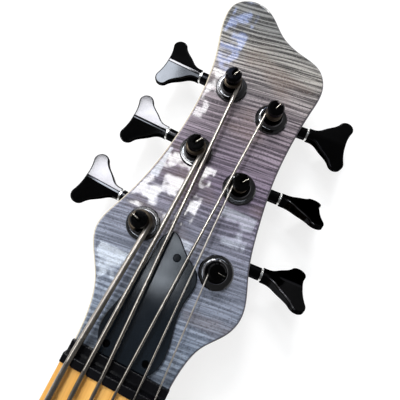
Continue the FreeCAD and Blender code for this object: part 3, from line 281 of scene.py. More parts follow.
# %% [markdown]
# ## Flamed maple under clear lacquer
# The face is a thin maple veneer whose fibres ripple, so it shows bands that run across it. A picture
# of such wood would fit one piece only, and a rule fits them all. A sine wave with a drifting place gives
# the regular bands, a noise stretched across the wood breaks them up, and a round noise speckles them.

# %% Ripples in the wood
BAND_SPACING = 3.1
DRIFT_RATES = (0.012, 0.020, 0.020)
DRIFT_REACH = 4.5
UNEVEN_RATES = (0.16, 0.010, 0.020)
UNEVEN_REACH = 12.0
FADING_RATES = (0.09, 0.02, 0.02)
FADING_EASE = (0.35, 0.65)
NARROW_RATES = (1.0, 0.022, 0.022)
SPECKLE_RATES = (1.2, 0.9, 0.9)
LEAST_WAVE = 0.03
FADING_WAVE = 0.08
NARROW_SHARE = 0.66
SPECKLE_SHARE = 0.34
BAND_EASE = (0.44, 0.60)


def ripple_bands(finish, point, lean, first_rate, rate_growth):
    """How light each band of the wood is, and the speckle in it.
    The narrow ripples come at a first rate per mm, which grows along the wood."""
    along, y, z = point
    drift = finish.grain(point, DRIFT_RATES, 1.0) * DRIFT_REACH
    ripple_place = along + y * lean + drift
    uneven = finish.grain((ripple_place, y, z), UNEVEN_RATES, 2.0) * UNEVEN_REACH
    wave = (ripple_place * (2.0 * math.pi / BAND_SPACING) + uneven).sine()
    fading = finish.grain((ripple_place, y, z), FADING_RATES, 2.0).ease(*FADING_EASE)
    ripple_count = ripple_place * (ripple_place * (rate_growth / 2.0) + first_rate)
    narrow = finish.grain((ripple_count, y, z), NARROW_RATES, 2.0, 0.6)
    speckle = finish.grain(point, SPECKLE_RATES, 3.0, 0.75)
    wave = wave * (fading * FADING_WAVE + LEAST_WAVE)
    band = (wave + narrow * NARROW_SHARE + speckle * SPECKLE_SHARE).ease(*BAND_EASE)
    return band, speckle


print("bands every", BAND_SPACING, "mm")

# %% [markdown]
# A grey stain soaks in unevenly: blue-grey by the nut, violet-grey in the middle and silver at the tip.
# Two ramps along the wood hold its light and its dark tones, and the bands choose between them. In
# patches the stain is thin and the wood shows tan. The rounded edge shows the pale core, painted pale
# only where it faces the bass side as a painted highlight, and painted dark as shade on the other side.

# %% Stain and edge
PATCH_RATES = (0.045, 0.03, 0.03)
PATCH_EASE = (0.50, 0.72)
PATCH_SHARE = 0.40
THIN_STAIN = (0.20, 0.13, 0.10)
DARK_EASE = (0.50, 0.64)
DARK_SHARE = 0.60
DARK_SPECKLE = (0.03, 0.03, 0.035)
LIGHT_EASE = (0.36, 0.48)
LIGHT_SHARE = 0.35
EDGE_EASE = (0.75, 0.97)
# painted light on the rounded edge: pale where it faces the bass side, painted shade on the other sides
PAINTED_LIGHT_WAY = (0, 1, 0)
PAINTED_LIGHT_EASE = (0.0, 0.25)
PALE_CORE_AND_PAINTED_LIGHT_EDGE = (0.70, 0.62, 0.47)
PAINTED_SHADE_EDGE = (0.045, 0.038, 0.055)


def stain(finish, point, tones, band, speckle):
    """The colour of the stained wood; tones are (distance in mm, light colour, dark colour) along it."""
    span = tones[-1][0]
    along = point[0] / span
    light = finish.ramp(along, [(distance / span, bright) for distance, bright, _ in tones])
    dark = finish.ramp(along, [(distance / span, deep) for distance, _, deep in tones])
    wood = finish.mix(band, dark, light)
    patches = finish.grain(point, PATCH_RATES, 2.0)
    wood = finish.mix(patches.ease(*PATCH_EASE) * PATCH_SHARE, wood, THIN_STAIN)
    wood = finish.mix(speckle.ease(*DARK_EASE) * DARK_SHARE, wood, DARK_SPECKLE)
    return finish.mix((1.0 - speckle.ease(*LIGHT_EASE)) * LIGHT_SHARE, wood, light)


def edge_with_painted_light(finish, wood, up):
    """The wood with its rounded edge, which is wherever it turns away from the face's direction: pale core
    with a painted highlight where it faces the bass side, painted shade elsewhere.
    """
    rounded = 1.0 - finish.facing(up).ease(*EDGE_EASE)
    # painted highlight on the bass-facing edge and painted shade on the rest
    painted_edge_tone = finish.mix(finish.facing(PAINTED_LIGHT_WAY).ease(*PAINTED_LIGHT_EASE), PAINTED_SHADE_EDGE, PALE_CORE_AND_PAINTED_LIGHT_EDGE)
    return finish.mix(rounded, wood, painted_edge_tone)


print("stain and edge ready")

# %% [markdown]
# A clear coat on top carries the shine, and it is faintly wavy, as lacquer is. The wood under it hardly
# shines of its own, or a grey haze would lie over its dark bands.

# %% Flamed maple
LACQUER_RATES = (0.03, 0.03, 0.03)
LACQUER_WAVE = 0.0004
LACQUER_STRENGTH = 0.25
LACQUER_ROUGHNESS = 0.03
LACQUER_IOR = 1.5
DARK_ROUGHNESS = 0.42
LIGHT_GAIN = 0.12
WOOD_SHINE = 0.1


def flamed_maple(name, start_x, tones, lean, up, first_rate, rate_growth):
    """Stained, rippled maple under lacquer, measured along X from a start."""
    finish = Finish(name)
    x, y, z = finish.axes()
    point = (x - start_x, y, z)
    band, speckle = ripple_bands(finish, point, lean, first_rate, rate_growth)
    wood = edge_with_painted_light(finish, stain(finish, point, tones, band, speckle), up)
    waves = finish.grain(point, LACQUER_RATES, 1.0)
    return finish.surface(
        Base_Color=wood, Roughness=DARK_ROUGHNESS - band * LIGHT_GAIN, Specular_IOR_Level=WOOD_SHINE,
        Normal=finish.bump(waves, LACQUER_WAVE, LACQUER_STRENGTH),
        Coat_Weight=1.0, Coat_Roughness=LACQUER_ROUGHNESS, Coat_IOR=LACQUER_IOR)


HEAD_TONES = (
    (0.0, (0.20, 0.235, 0.285), (0.040, 0.050, 0.066)),
    (26.0, (0.32, 0.37, 0.46), (0.125, 0.150, 0.200)),
    (70.0, (0.33, 0.35, 0.435), (0.125, 0.132, 0.172)),
    (110.0, (0.27, 0.215, 0.30), (0.066, 0.050, 0.078)),
    (152.0, (0.40, 0.33, 0.37), (0.080, 0.062, 0.076)),
    (193.0, (0.53, 0.50, 0.46), (0.042, 0.038, 0.036)),
    (214.0, (0.32, 0.32, 0.31), (0.028, 0.028, 0.028)),
    (232.0, (0.25, 0.25, 0.245), (0.020, 0.020, 0.020)),
)
BODY_TONES = (
    (0.0, (0.10, 0.11, 0.13), (0.02, 0.022, 0.028)),
    (160.0, (0.33, 0.29, 0.33), (0.09, 0.075, 0.095)),
    (340.0, (0.36, 0.33, 0.35), (0.11, 0.095, 0.11)),
    (500.0, (0.13, 0.13, 0.16), (0.03, 0.032, 0.042)),
)
face_up = Vector((0, 0, 1))
head_up = (head_place.to_3x3() @ face_up).normalized()
head_flame = flamed_maple("flamed_head_face", HEAD_X, HEAD_TONES, lean=0.13, up=head_up,
                          first_rate=0.55, rate_growth=0.0036)
body_flame = flamed_maple("flamed_body_top", cad_low[0] / MM, BODY_TONES, lean=0.08, up=face_up,
                          first_rate=1.2, rate_growth=0.0)
dress(head_flame, "headstock_veneer")
dress(body_flame, "body_top")
print("flamed finishes on the head face and the body top")

# %% [markdown]
# ## Plain woods
# Neck and fingerboard are straight-grained maple and the body is a brown hardwood. Long noises
# along X draw growth lines, and short dark flecks stand for pores.

# %% Plain woods
WANDER_RATES = (0.004, 0.01, 0.01)
WANDER_REACH = 9.0
LINE_STRETCH = 0.003
LINE_EASE = (0.32, 0.68)
FLECK_RATES = (0.06, 1.8, 1.8)
FLECK_EASE = (0.56, 0.72)
FLECK_SHARE = 0.35
FLECK_TONE = 0.45
FLECK_DEPTH = 0.0002
FLECK_STRENGTH = 0.12
FLECK_ROUGHNESS = 0.15
VARNISH_ROUGHNESS = 0.08


def straight_wood(name, light, dark, line_rate, roughness, coat):
    """Straight-grained wood; line_rate is how fast its growth lines follow each other across it."""
    finish = Finish(name)
    x, y, z = finish.axes()
    wander = finish.grain((x, y, z), WANDER_RATES, 2.0) * WANDER_REACH
    lines = finish.grain((x, y + wander, z + wander), (LINE_STRETCH, line_rate, line_rate), 4.0, 0.6)
    flecks = finish.grain((x, y, z), FLECK_RATES, 2.0, 0.6)
    pore = tuple(part * FLECK_TONE for part in dark)
    wood = finish.mix(lines.ease(*LINE_EASE), dark, light)
    wood = finish.mix(flecks.ease(*FLECK_EASE) * FLECK_SHARE, wood, pore)
    return finish.surface(Base_Color=wood, Roughness=roughness + flecks * FLECK_ROUGHNESS,
                          Normal=finish.bump(flecks, FLECK_DEPTH, FLECK_STRENGTH),
                          Coat_Weight=coat, Coat_Roughness=VARNISH_ROUGHNESS)


neck_maple = straight_wood("neck_maple", (0.62, 0.42, 0.22), (0.47, 0.29, 0.135),
                           line_rate=0.16, roughness=0.34, coat=0.3)
board_maple = straight_wood("board_maple", (0.95, 0.54, 0.15), (0.82, 0.41, 0.09),
                            line_rate=0.22, roughness=0.28, coat=0.5)
body_wood = straight_wood("body_hardwood", (0.20, 0.09, 0.045), (0.10, 0.04, 0.02),
                          line_rate=0.10, roughness=0.36, coat=0.5)
dress(neck_maple, "neck")
dress(board_maple, "fingerboard")
dress(body_wood, "body_core")
print("plain woods on the neck, fingerboard and body")

# %% [markdown]
# ## Metals and plastics
# The hardware is plated a deep gloss black with faint smudges, bright parts are bare steel, brass or
# chrome, and the covers are satin plastic. Two recipes make them all. Each finish varies its roughness
# a little, because a perfectly even one looks like a drawing.

# %% Metal and plastic recipes
SMUDGE_SCALE = 90.0
SMUDGE_EASE = (0.35, 0.7)
SMUDGE_TONE = 0.8
SMUDGE_ROUGHNESS = 0.06
FINE_SCALE = 1400.0
FINE_DEPTH = 0.00002
FINE_STRENGTH = 0.15
GRIT_SCALE = 2600.0
GRIT_STRENGTH = 0.3
SMOOTH_GRIT = 0.00001
SATIN_GRIT = 0.00003
WEAR_SCALE = 60.0
WEAR_EASE = (0.4, 0.75)
WEAR_SHARE = 0.5
WEAR_GAIN = 1.5
WEAR_LIFT = 0.002
WEAR_ROUGHNESS = 0.12


def metal(name, colour, roughness, edge=1.0):
    """Plated or bare metal; edge is how far it brightens where it is seen at a flat angle."""
    finish = Finish(name)
    smudge = finish.noise(finish.place, SMUDGE_SCALE, 3.0, 0.6)
    fine = finish.noise(finish.place, FINE_SCALE, 2.0, 0.5)
    smudged = tuple(part * SMUDGE_TONE for part in colour)
    tint = finish.mix(smudge.ease(*SMUDGE_EASE), smudged, colour)
    return finish.surface(Base_Color=tint, Metallic=1.0, Roughness=roughness + smudge * SMUDGE_ROUGHNESS,
                          Normal=finish.bump(fine, FINE_DEPTH, FINE_STRENGTH),
                          Specular_Tint=rgba((edge, edge, edge)))


def plastic(name, colour, roughness, grit_depth=SATIN_GRIT, shine=0.5):
    """Moulded plastic, paler and rougher where it is worn; roughness is its mean."""
    finish = Finish(name)
    grit = finish.noise(finish.place, GRIT_SCALE, 3.0, 0.6)
    wear = finish.noise(finish.place, WEAR_SCALE, 3.0, 0.6)
    worn = tuple(part * WEAR_GAIN + WEAR_LIFT for part in colour)
    tint = finish.mix(wear.ease(*WEAR_EASE) * WEAR_SHARE, colour, worn)
    rough = roughness + wear * WEAR_ROUGHNESS - WEAR_ROUGHNESS / 2.0
    return finish.surface(Base_Color=tint, Roughness=rough, Specular_IOR_Level=shine,
                          Normal=finish.bump(grit, grit_depth, GRIT_STRENGTH))


print("recipes for metal and plastic ready")

# %% [markdown]
# The keys and the posts mirror only about a hundredth of what stands before them, so that only a window
# shows on them, and the keys stay dark where they are seen at a flat angle. The bushings, the bridge and
# the knobs are polished brighter.

# %% Hardware finishes
PLATING_TONE = (0.014, 0.014, 0.015)
black_plating = metal("black_plating", PLATING_TONE, 0.05, edge=0.18)
post_plating = metal("post_plating", PLATING_TONE, 0.04, edge=0.7)
polished_plating = metal("polished_plating", (0.12, 0.12, 0.125), 0.05)
bright_chrome = metal("bright_chrome", (0.94, 0.94, 0.92), 0.22)
turned_steel = metal("turned_steel", (0.55, 0.55, 0.57), 0.28)
fret_steel = metal("fret_steel", (0.66, 0.66, 0.66), 0.18)
end_wire = metal("end_wire", (0.19, 0.175, 0.15), 0.20)
gear_brass = metal("gear_brass", (0.66, 0.44, 0.16), 0.28)
cover_satin = plastic("cover_satin", (0.005, 0.008, 0.012), 0.12, SMOOTH_GRIT)
nut_black = plastic("nut_black", (0.003, 0.003, 0.004), 0.16, SMOOTH_GRIT, shine=0.2)
pickup_satin = plastic("pickup_satin", (0.014, 0.014, 0.014), 0.38)
dot_black = plastic("dot_black", (0.012, 0.012, 0.012), 0.2, SMOOTH_GRIT)
board_green = plastic("circuit_green", (0.02, 0.11, 0.04), 0.4)
battery_case = plastic("battery_case", (0.03, 0.03, 0.032), 0.35)
print("finishes so far:", len(bpy.data.materials))

# %% [markdown]
# Each finish goes on the pieces that are made of it. Pieces that come in sets are numbered from 1, one
# for each tuner or knob.

# %% Dress the hardware
TUNER_COUNT = 6
KNOB_COUNT = 4


def numbered(stem, count=TUNER_COUNT):
    return ["%s_%d" % (stem, number) for number in range(1, count + 1)]


dress(black_plating, "tuner_plates", "tuner_plate_screws", *numbered("tuner_key"))
dress(post_plating, "cover_screws", *numbered("tuner_post"))
dress(polished_plating, "tuner_bushings", "tuner_washers", "neck_screws", "neck_ferrules", "pickup_screws",
      "bridge_plate", "bridge_saddles", "saddle_screws", "body_screws", "output_jack", "strap_buttons",
      *numbered("knob", KNOB_COUNT))
dress(turned_steel, "truss_rod", "potentiometers", *numbered("worm_shaft"))
dress(gear_brass, *numbered("tuner_gear"))
dress(bright_chrome, "key_rings")
dress(fret_steel, "frets")
dress(cover_satin, "truss_rod_cover", "control_cover")
dress(nut_black, "nut")
dress(pickup_satin, "neck_pickup", "bridge_pickup")
dress(dot_black, "position_dots")
dress(board_green, "preamp_board")
dress(battery_case, "battery")
print("metal and plastic finishes assigned")

# %% [markdown]
# ## Strings
# Each string is a steel core wrapped with fine wire, anchored by a ball behind the bridge and wound
# on its post. Drawn by hand its path would never fit, so it is computed from the scale and the tuners'
# places: straight runs, two bends and a helix. First come helpers for any path.

# %% Path helpers
CORNER_SHARES = (0.0, 0.25, 0.5, 0.75, 1.0)


def path_length(points):
    return sum((after - before).length for before, after in zip(points, points[1:]))


def short_steps(points, longest):
    """The same path with its long straight runs divided, because long thin faces shade unevenly."""
    path = points[:1]
    for before, after in zip(points, points[1:]):
        pieces = math.ceil((after - before).length / longest)
        path += [before.lerp(after, piece / pieces) for piece in range(1, pieces + 1)]
    return path


def round_corner(before, corner, after, radius):
    """A few points on the arc that rounds a corner."""
    into = (corner - before).normalized()
    away = (after - corner).normalized()
    reach = radius * math.tan(into.angle(away) / 2.0)
    first = corner - into * reach
    last = corner + away * reach
    return [first.lerp(corner, share).lerp(corner.lerp(last, share), share) for share in CORNER_SHARES]


print("a rounded corner has", len(CORNER_SHARES), "points")

# %% [markdown]
# The turns on a post climb by the string's own thickness and a small gap. There are as many quarters of a
# turn as fit on the post's waist, up to three whole turns. They start where a line from the nut touches
# them, on the side of the post that is nearer the middle of the head.

# %% Turns on a post
WAIST_RADIUS = 2.9
WAIST_BOTTOM = 5.2
WAIST_TOP = 11.9
WINDING_CLEARANCE = 0.2
WINDING_GAP = 0.65
MOST_TURNS = 3.0
PARTS_OF_TURN = 4
POINTS_PER_TURN = 32


def winding(tuner, gauge, nut):
    """Points of a string's turns on its post, for a string that comes from a place on the nut."""
    s, t = tuner
    side = 1.0 if t > 0 else -1.0
    radius = WAIST_RADIUS + WINDING_CLEARANCE + gauge / 2.0
    height = WAIST_BOTTOM + WINDING_CLEARANCE + gauge / 2.0
    local_nut = head_place.inverted() @ nut / MM
    gap = Vector((s - local_nut.x, t - local_nut.y))
    start = math.atan2(gap.y, gap.x) - side * (math.asin(radius / gap.length) + math.pi / 2.0)
    rise = gauge + WINDING_GAP
    room = WAIST_TOP - WAIST_BOTTOM - 2 * WINDING_CLEARANCE - gauge
    turns = int(min(MOST_TURNS, room / rise) * PARTS_OF_TURN) / PARTS_OF_TURN
    points = []
    for step in range(int(turns * POINTS_PER_TURN) + 1):
        turn = step / POINTS_PER_TURN
        angle = start + side * 2.0 * math.pi * turn
        points.append(head_point(s + radius * math.cos(angle), t + radius * math.sin(angle),
                                 height + rise * turn))
    return points


print("at most", MOST_TURNS, "turns on a post")

# %% [markdown]
# The whole path runs from the ball over the saddle's roller and over the nut to the post. The length of
# the part before the post is kept, because the finish of the wire changes there.

# %% String paths
GAUGES = (3.30, 2.67, 2.16, 1.65, 1.14, 0.81)
TUNERS = ((72.0, 23.4), (121.8, 15.9), (167.0, 14.5), (158.6, -14.7), (112.4, -15.3), (65.6, -23.4))
NUT_PITCH = 9.0
BRIDGE_PITCH = 17.0
NUT_STRING_Z = 61.4
SADDLE_STRING_Z = 65.0
SEAT_GAP = 0.06
ANCHOR_X = -47.0
ANCHOR_Z = 60.5
ROLLER_RADIUS = 3.0
NUT_BEND = 14.0
LONGEST_STEP = 6.0


def string_path(gauge, across, tuner):
    """Points of one string's centre line, from its ball to its last turn, and its length up to the post.
    The string lies so many places across from the middle."""
    half = gauge / 2.0 + SEAT_GAP
    ball = Vector((ANCHOR_X, across * BRIDGE_PITCH, ANCHOR_Z)) * MM
    crest_z = SADDLE_STRING_Z + half
    lean = math.atan2(crest_z - ANCHOR_Z, -ANCHOR_X) / 2.0
    crest = Vector((-(ROLLER_RADIUS + half) * math.tan(lean), across * BRIDGE_PITCH, crest_z)) * MM
    nut = Vector((SCALE_LENGTH + NUT_THICKNESS / 2.0, across * NUT_PITCH, NUT_STRING_Z + half)) * MM
    turns = winding(tuner, gauge, nut)
    run = [ball] + round_corner(ball, crest, nut, ROLLER_RADIUS * MM)
    run += round_corner(crest, nut, turns[0], NUT_BEND * MM)
    return short_steps(run + turns, LONGEST_STEP * MM), path_length(run + turns[:1])


paths = []
straight_lengths = []
middle = (len(GAUGES) - 1) / 2.0
for index, (gauge, tuner) in enumerate(zip(GAUGES, TUNERS)):
    path, straight_length = string_path(gauge, middle - index, tuner)
    paths.append(path)
    straight_lengths.append(straight_length)
print("string lengths in mm:", [round(path_length(path) / MM) for path in paths])

# %% [markdown]
# The finish of the wire reads the length along the string. It paints shade into the grooves of the wrap at
# its real pitch, dulls the wire towards its post and darkens it on the post, as tarnish where fingers
# never polish it and as painted shade under the cap.

# %% Wound wire
WIRE_TONES = ((0.36, 0.33, 0.295), (0.49, 0.45, 0.405))
WIRE_ROUGHNESS = 0.10
TARNISH_SCALE = 220.0
TARNISH_EASE = (0.35, 0.7)
TARNISH_ROUGHNESS = 0.08
DULL_ROUGHNESS = 0.20
WRAP_GROOVE_SHADE = (0.10, 0.09, 0.08)
WRAP_SHADE_SHARE = 0.12
POST_TARNISH_AND_SHADE = (0.085, 0.068, 0.05)
POST_BLEND = 3.0
DULL_FROM = 110.0
DULL_TO = 30.0


def wound_wire(name, pitch, post_length):
    """Nickel wrap with painted shade in its grooves at its pitch, darker where it lies on the post past a
    length along the string, as tarnish and painted shade.
    """
    finish = Finish(name)
    length = finish.add("ShaderNodeAttribute", {"attribute_name": "string_length"}, None, "Fac")
    ridge = (length * (2.0 * math.pi / pitch)).sine()
    tarnish = finish.noise(finish.place, TARNISH_SCALE, 3.0, 0.6)
    wire = finish.mix(tarnish.ease(*TARNISH_EASE), *WIRE_TONES)
    # painted shade in the grooves between the turns of the wrap
    wire = finish.mix((0.5 - ridge * 0.5) * WRAP_SHADE_SHARE, wire, WRAP_GROOVE_SHADE)
    on_post = length.ease(post_length - POST_BLEND * MM, post_length + POST_BLEND * MM)
    # darker on the post: partly tarnish, partly painted shade under the cap
    wire = finish.mix(on_post, wire, POST_TARNISH_AND_SHADE)
    dull = length.ease(post_length - DULL_FROM * MM, post_length - DULL_TO * MM)
    rough = WIRE_ROUGHNESS + dull * DULL_ROUGHNESS + tarnish * TARNISH_ROUGHNESS
    return finish.surface(Base_Color=wire, Metallic=1.0, Roughness=rough)


print("wire dulls from", DULL_FROM, "to", DULL_TO, "mm before its post")

# %% [markdown]
# The sweep. A curve holds the points, a circle of the string's gauge is the profile, and the length
# along the curve is stored before the sweep so that every ring of the tube carries it.

# %% Sweep by Geometry Nodes


def sweep_tree():
    """The node tree, and the identifiers of its inputs."""
    tree = bpy.data.node_groups.new("string_sweep", "GeometryNodeTree")
    face = tree.interface
    face.new_socket("Geometry", in_out="INPUT", socket_type="NodeSocketGeometry")
    sockets = {
        "gauge": face.new_socket("Gauge", in_out="INPUT", socket_type="NodeSocketFloat"),
        "sides": face.new_socket("Sides", in_out="INPUT", socket_type="NodeSocketInt"),
        "finish": face.new_socket("Finish", in_out="INPUT", socket_type="NodeSocketMaterial"),
    }
    face.new_socket("Geometry", in_out="OUTPUT", socket_type="NodeSocketGeometry")
    made = {}

    def node(name, kind, **settings):
        made[name] = tree.nodes.new(kind)
        for key, value in settings.items():
            setattr(made[name], key, value)

    def join(source, output, target, socket):
        tree.links.new(made[source].outputs[output], made[target].inputs[socket])

    node("given", "NodeGroupInput")
    node("parameter", "GeometryNodeSplineParameter")
    node("keep_length", "GeometryNodeStoreNamedAttribute", data_type="FLOAT", domain="POINT")
    made["keep_length"].inputs["Name"].default_value = "string_length"
    node("half", "ShaderNodeMath", operation="MULTIPLY")
    made["half"].inputs[1].default_value = 0.5
    node("profile", "GeometryNodeCurvePrimitiveCircle", mode="RADIUS")
    node("sweep", "GeometryNodeCurveToMesh")
    made["sweep"].inputs["Fill Caps"].default_value = True
    node("smooth", "GeometryNodeSetShadeSmooth")
    node("realize", "GeometryNodeRealizeInstances")
    node("coat", "GeometryNodeSetMaterial")
    node("result", "NodeGroupOutput")
    join("given", "Geometry", "keep_length", "Geometry")
    join("parameter", "Length", "keep_length", "Value")
    join("given", "Gauge", "half", 0)
    join("half", 0, "profile", "Radius")
    join("given", "Sides", "profile", "Resolution")
    join("keep_length", "Geometry", "sweep", "Curve")
    join("profile", "Curve", "sweep", "Profile Curve")
    join("sweep", "Mesh", "smooth", "Geometry")
    join("smooth", "Geometry", "realize", "Geometry")
    join("realize", "Geometry", "coat", "Geometry")
    join("given", "Finish", "coat", "Material")
    join("coat", "Geometry", "result", 0)
    return tree, {key: socket.identifier for key, socket in sockets.items()}


wire_sweep, wire_inputs = sweep_tree()
print("sweep tree with inputs", list(wire_inputs))

# %% [markdown]
# A modifier applies the tree to each path. The result is taken as a plain mesh and the object that held
# the path is removed, so that what is left is an ordinary piece at the origin.

# %% Strings
WIRE_SIDES = 14
WRAP_SHARE = 0.16
THINNEST_WRAP = 0.2


def sweep_wire(name, path, gauge, finish):
    """A piece of wire of some gauge along a path."""
    curve = bpy.data.curves.new(name + "_path", "CURVE")
    curve.dimensions = "3D"
    spline = curve.splines.new("POLY")
    spline.points.add(len(path) - 1)
    for place, point in zip(path, spline.points):
        point.co = (*place, 1.0)
    holder = bpy.data.objects.new(curve.name, curve)
    scene.collection.objects.link(holder)
    modifier = holder.modifiers.new("sweep", "NODES")
    modifier.node_group = wire_sweep
    modifier[wire_inputs["gauge"]] = gauge * MM
    modifier[wire_inputs["sides"]] = WIRE_SIDES
    modifier[wire_inputs["finish"]] = finish
    graph = bpy.context.evaluated_depsgraph_get()
    mesh = bpy.data.meshes.new_from_object(holder.evaluated_get(graph))
    bpy.data.objects.remove(holder)
    wire = bpy.data.objects.new(name, mesh)
    scene.collection.objects.link(wire)
    return wire


string_pieces = []
for number, (path, gauge, straight_length) in enumerate(zip(paths, GAUGES, straight_lengths), 1):
    wrap_pitch = max(WRAP_SHARE * gauge, THINNEST_WRAP) * MM
    wound = wound_wire("wound_wire_%d" % number, wrap_pitch, straight_length)
    piece = sweep_wire("string_%d" % number, path, gauge, wound)
    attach(piece, "instrument")
    string_pieces.append(piece)
print("string faces", [len(piece.data.polygons) for piece in string_pieces])

# %% [markdown]
# The other end of each string is tucked into its post: down the hole in the middle of the cap, with a
# bend that lies in the slot. It turns with the post, so it is a piece of its own.

# %% Ends in the posts
POST_TOP = 15.4
POST_RIM = 4.6
SLOT_DEPTH = 3.1
HOLE_DEPTH = 4.4
SLOT_TURNS = (-76.0, 30.0, 27.0, 21.0, 38.0, 93.0)
THICKEST_END = 2.0
END_BEND = 1.1
END_MARGIN = 0.3
BEND_STEPS = 8


def end_path(tuner, slot_turn, gauge):
    """Points from the bottom of the hole, round the bend and along the slot to the rim.
    The slot is turned from the tip towards the treble side."""
    height = POST_TOP - SLOT_DEPTH + gauge / 2.0 + SEAT_GAP
    way = (math.cos(math.radians(slot_turn)), -math.sin(math.radians(slot_turn)))
    profile = [(0.0, POST_TOP - HOLE_DEPTH + END_MARGIN)]
    for step in range(BEND_STEPS + 1):
        angle = math.pi / 2.0 * step / BEND_STEPS
        profile.append((END_BEND * (1.0 - math.cos(angle)), height - END_BEND * (1.0 - math.sin(angle))))
    profile.append((POST_RIM - END_MARGIN, height))
    return [head_point(tuner[0] + out * way[0], tuner[1] + out * way[1], up) for out, up in profile]


for number, (tuner, slot_turn, gauge) in enumerate(zip(TUNERS, SLOT_TURNS, GAUGES), 1):
    end_gauge = min(gauge, THICKEST_END)
    end = sweep_wire("string_end_%d" % number, end_path(tuner, slot_turn, end_gauge), end_gauge, end_wire)
    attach(end, "post_%d" % number)
print("string ends in", len(TUNERS), "posts")

# %% [markdown]
# Every string starts at a brass ball: a short drum with a waist that the wire is twisted round.
# One profile is spun for each, square to the string.

# %% Ball ends
BALL_PROFILE = ((0.0, -2.0), (2.6, -2.0), (3.0, -1.6), (3.0, -1.0), (2.3, -0.6), (2.3, 0.6), (3.0, 1.0),
                (3.0, 1.6), (2.6, 2.0), (0.0, 2.0))
BALL_STEPS = 28
MERGE_DISTANCE = 0.00001


def spin_profile(mesh_edit, profile, steps, place):
    """Turns (radius, height) corners about Z into a closed surface at a placement."""
    rings = []
    for step in range(steps):
        turn = Matrix.Rotation(2.0 * math.pi * step / steps, 4, "Z")
        corners = [place @ turn @ Vector((radius, 0, height)) for radius, height in profile]
        rings.append([mesh_edit.verts.new(corner) for corner in corners])
    for first, second in zip(rings, rings[1:] + rings[:1]):
        for low in range(len(profile) - 1):
            mesh_edit.faces.new((first[low], second[low], second[low + 1], first[low + 1]))


edit = bmesh.new()
for path in paths:
    way = (path[1] - path[0]).to_track_quat("Z", "Y").to_matrix().to_4x4()
    spin_profile(edit, BALL_PROFILE, BALL_STEPS, Matrix.Translation(path[0]) @ way @ Matrix.Scale(MM, 4))
bmesh.ops.remove_doubles(edit, verts=edit.verts, dist=MERGE_DISTANCE)
bmesh.ops.recalc_face_normals(edit, faces=edit.faces)
ball_mesh = bpy.data.meshes.new("string_balls")
edit.to_mesh(ball_mesh)
edit.free()
ball_mesh.materials.append(gear_brass)
balls = bpy.data.objects.new("string_balls", ball_mesh)
scene.collection.objects.link(balls)
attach(balls, "instrument")
for piece in string_pieces:
    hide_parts("strings")
print("ball ends", len(paths))

# %% [markdown]
# ## Floor
# The instrument lies on its back on a white floor. A floor that is white by its lamps alone would need
# too much light on the object, so the floor is a grey that catches the shadow, with a glow of its own
# that only the camera sees, directly, in a mirroring surface or through a clear one.

# %% Floor
FLOOR_SIZE = 12.0
FLOOR_PLACE = (0.5, 0, -0.0005)
FLOOR_GREY = (0.26, 0.26, 0.26)
FLOOR_GLOW = 0.79
LOOKS = ("Is Camera Ray", "Is Glossy Ray", "Is Transmission Ray")

floor_mesh = bpy.data.meshes.new("floor")
half = FLOOR_SIZE / 2.0
corners = [(-half, -half, 0), (half, -half, 0), (half, half, 0), (-half, half, 0)]
floor_mesh.from_pydata(corners, [], [(0, 1, 2, 3)])
floor = bpy.data.objects.new("floor", floor_mesh)
floor.location = FLOOR_PLACE
scene.collection.objects.link(floor)
floor_finish = Finish("white_floor")
seen, mirrored, through = (floor_finish.add("ShaderNodeLightPath", None, None, look) for look in LOOKS)
glow_level = (seen + mirrored + through) * FLOOR_GLOW
matt = floor_finish.add("ShaderNodeBsdfDiffuse", None, {"Color": rgba(FLOOR_GREY)})
glow = floor_finish.add("ShaderNodeEmission", None, {"Strength": glow_level})
both = floor_finish.add("ShaderNodeAddShader", None, {0: matt, 1: glow})
floor_finish.add("ShaderNodeOutputMaterial", None, {0: both})
floor_mesh.materials.append(floor_finish.material)
print("floor laid")

# %% [markdown]
# ## Light
# Lacquer and black plating show what they mirror. In the picture that is a window on the bass side,
# with branches before it that break its light into blobs. A flat face mirrors towards the eye only
# what stands in one direction, so each pane hangs far above the head, parallel to its face, and its
# sides are given as directions: shares of its height, along and across the head.

# %% Panes
PANE_HEIGHT = 6.0
PANE_START = Vector((110.0, 0.0, 0.0)) * MM
LEAF_EASE = (0.46, 0.54)
LEAF_GAIN = 2.0


def pane(name, s_share, t_share, radiance, tint):
    """A lamp over the head, parallel to its face; its sides are given as shares of its height over it."""
    lamp = bpy.data.lights.new(name, "AREA")
    lamp.shape = "RECTANGLE"
    lamp.size = (s_share[1] - s_share[0]) * PANE_HEIGHT
    lamp.size_y = (t_share[1] - t_share[0]) * PANE_HEIGHT
    lamp.energy = radiance * math.pi * lamp.size * lamp.size_y
    lamp.color = tint
    holder = bpy.data.objects.new(name, lamp)
    middle = Vector((sum(s_share) / 2.0, sum(t_share) / 2.0, 1.0)) * PANE_HEIGHT
    holder.matrix_world = head_place @ Matrix.Translation(middle + PANE_START)
    holder.visible_camera = False
    scene.collection.objects.link(holder)
    return lamp


def behind_leaves(lamp, spots, shift):
    """Holds patches of a lamp's light back, as branches in front of a window do."""
    lamp.use_nodes = True
    graph = Graph(lamp.node_tree)
    u, v, _ = graph.split(graph.add("ShaderNodeNewGeometry", output="Parametric"))
    leaf_place = graph.vector(u * (spots * lamp.size) + shift, v * (spots * lamp.size_y), 0.0)
    leaves = graph.noise(leaf_place, 1.0, 3.0)
    light = graph.add("ShaderNodeEmission", None, {"Strength": leaves.ease(*LEAF_EASE) * LEAF_GAIN})
    graph.add("ShaderNodeOutputLight", None, {0: light})


print("helpers for window panes ready")

# %% [markdown]
# The room itself is dim overhead, so that the black parts stay black, and paler at the walls on the
# window's side. A gradient on the world's direction does it.

# %% Room
ZENITH_LEVEL = 0.10
NEAR_WALL_LEVEL = 0.75
FAR_WALL_LEVEL = 0.14
WINDOW_ALONG = 0.5
WINDOW_ACROSS = 0.85
WALL_FROM = -0.5
WALL_TO = 0.8

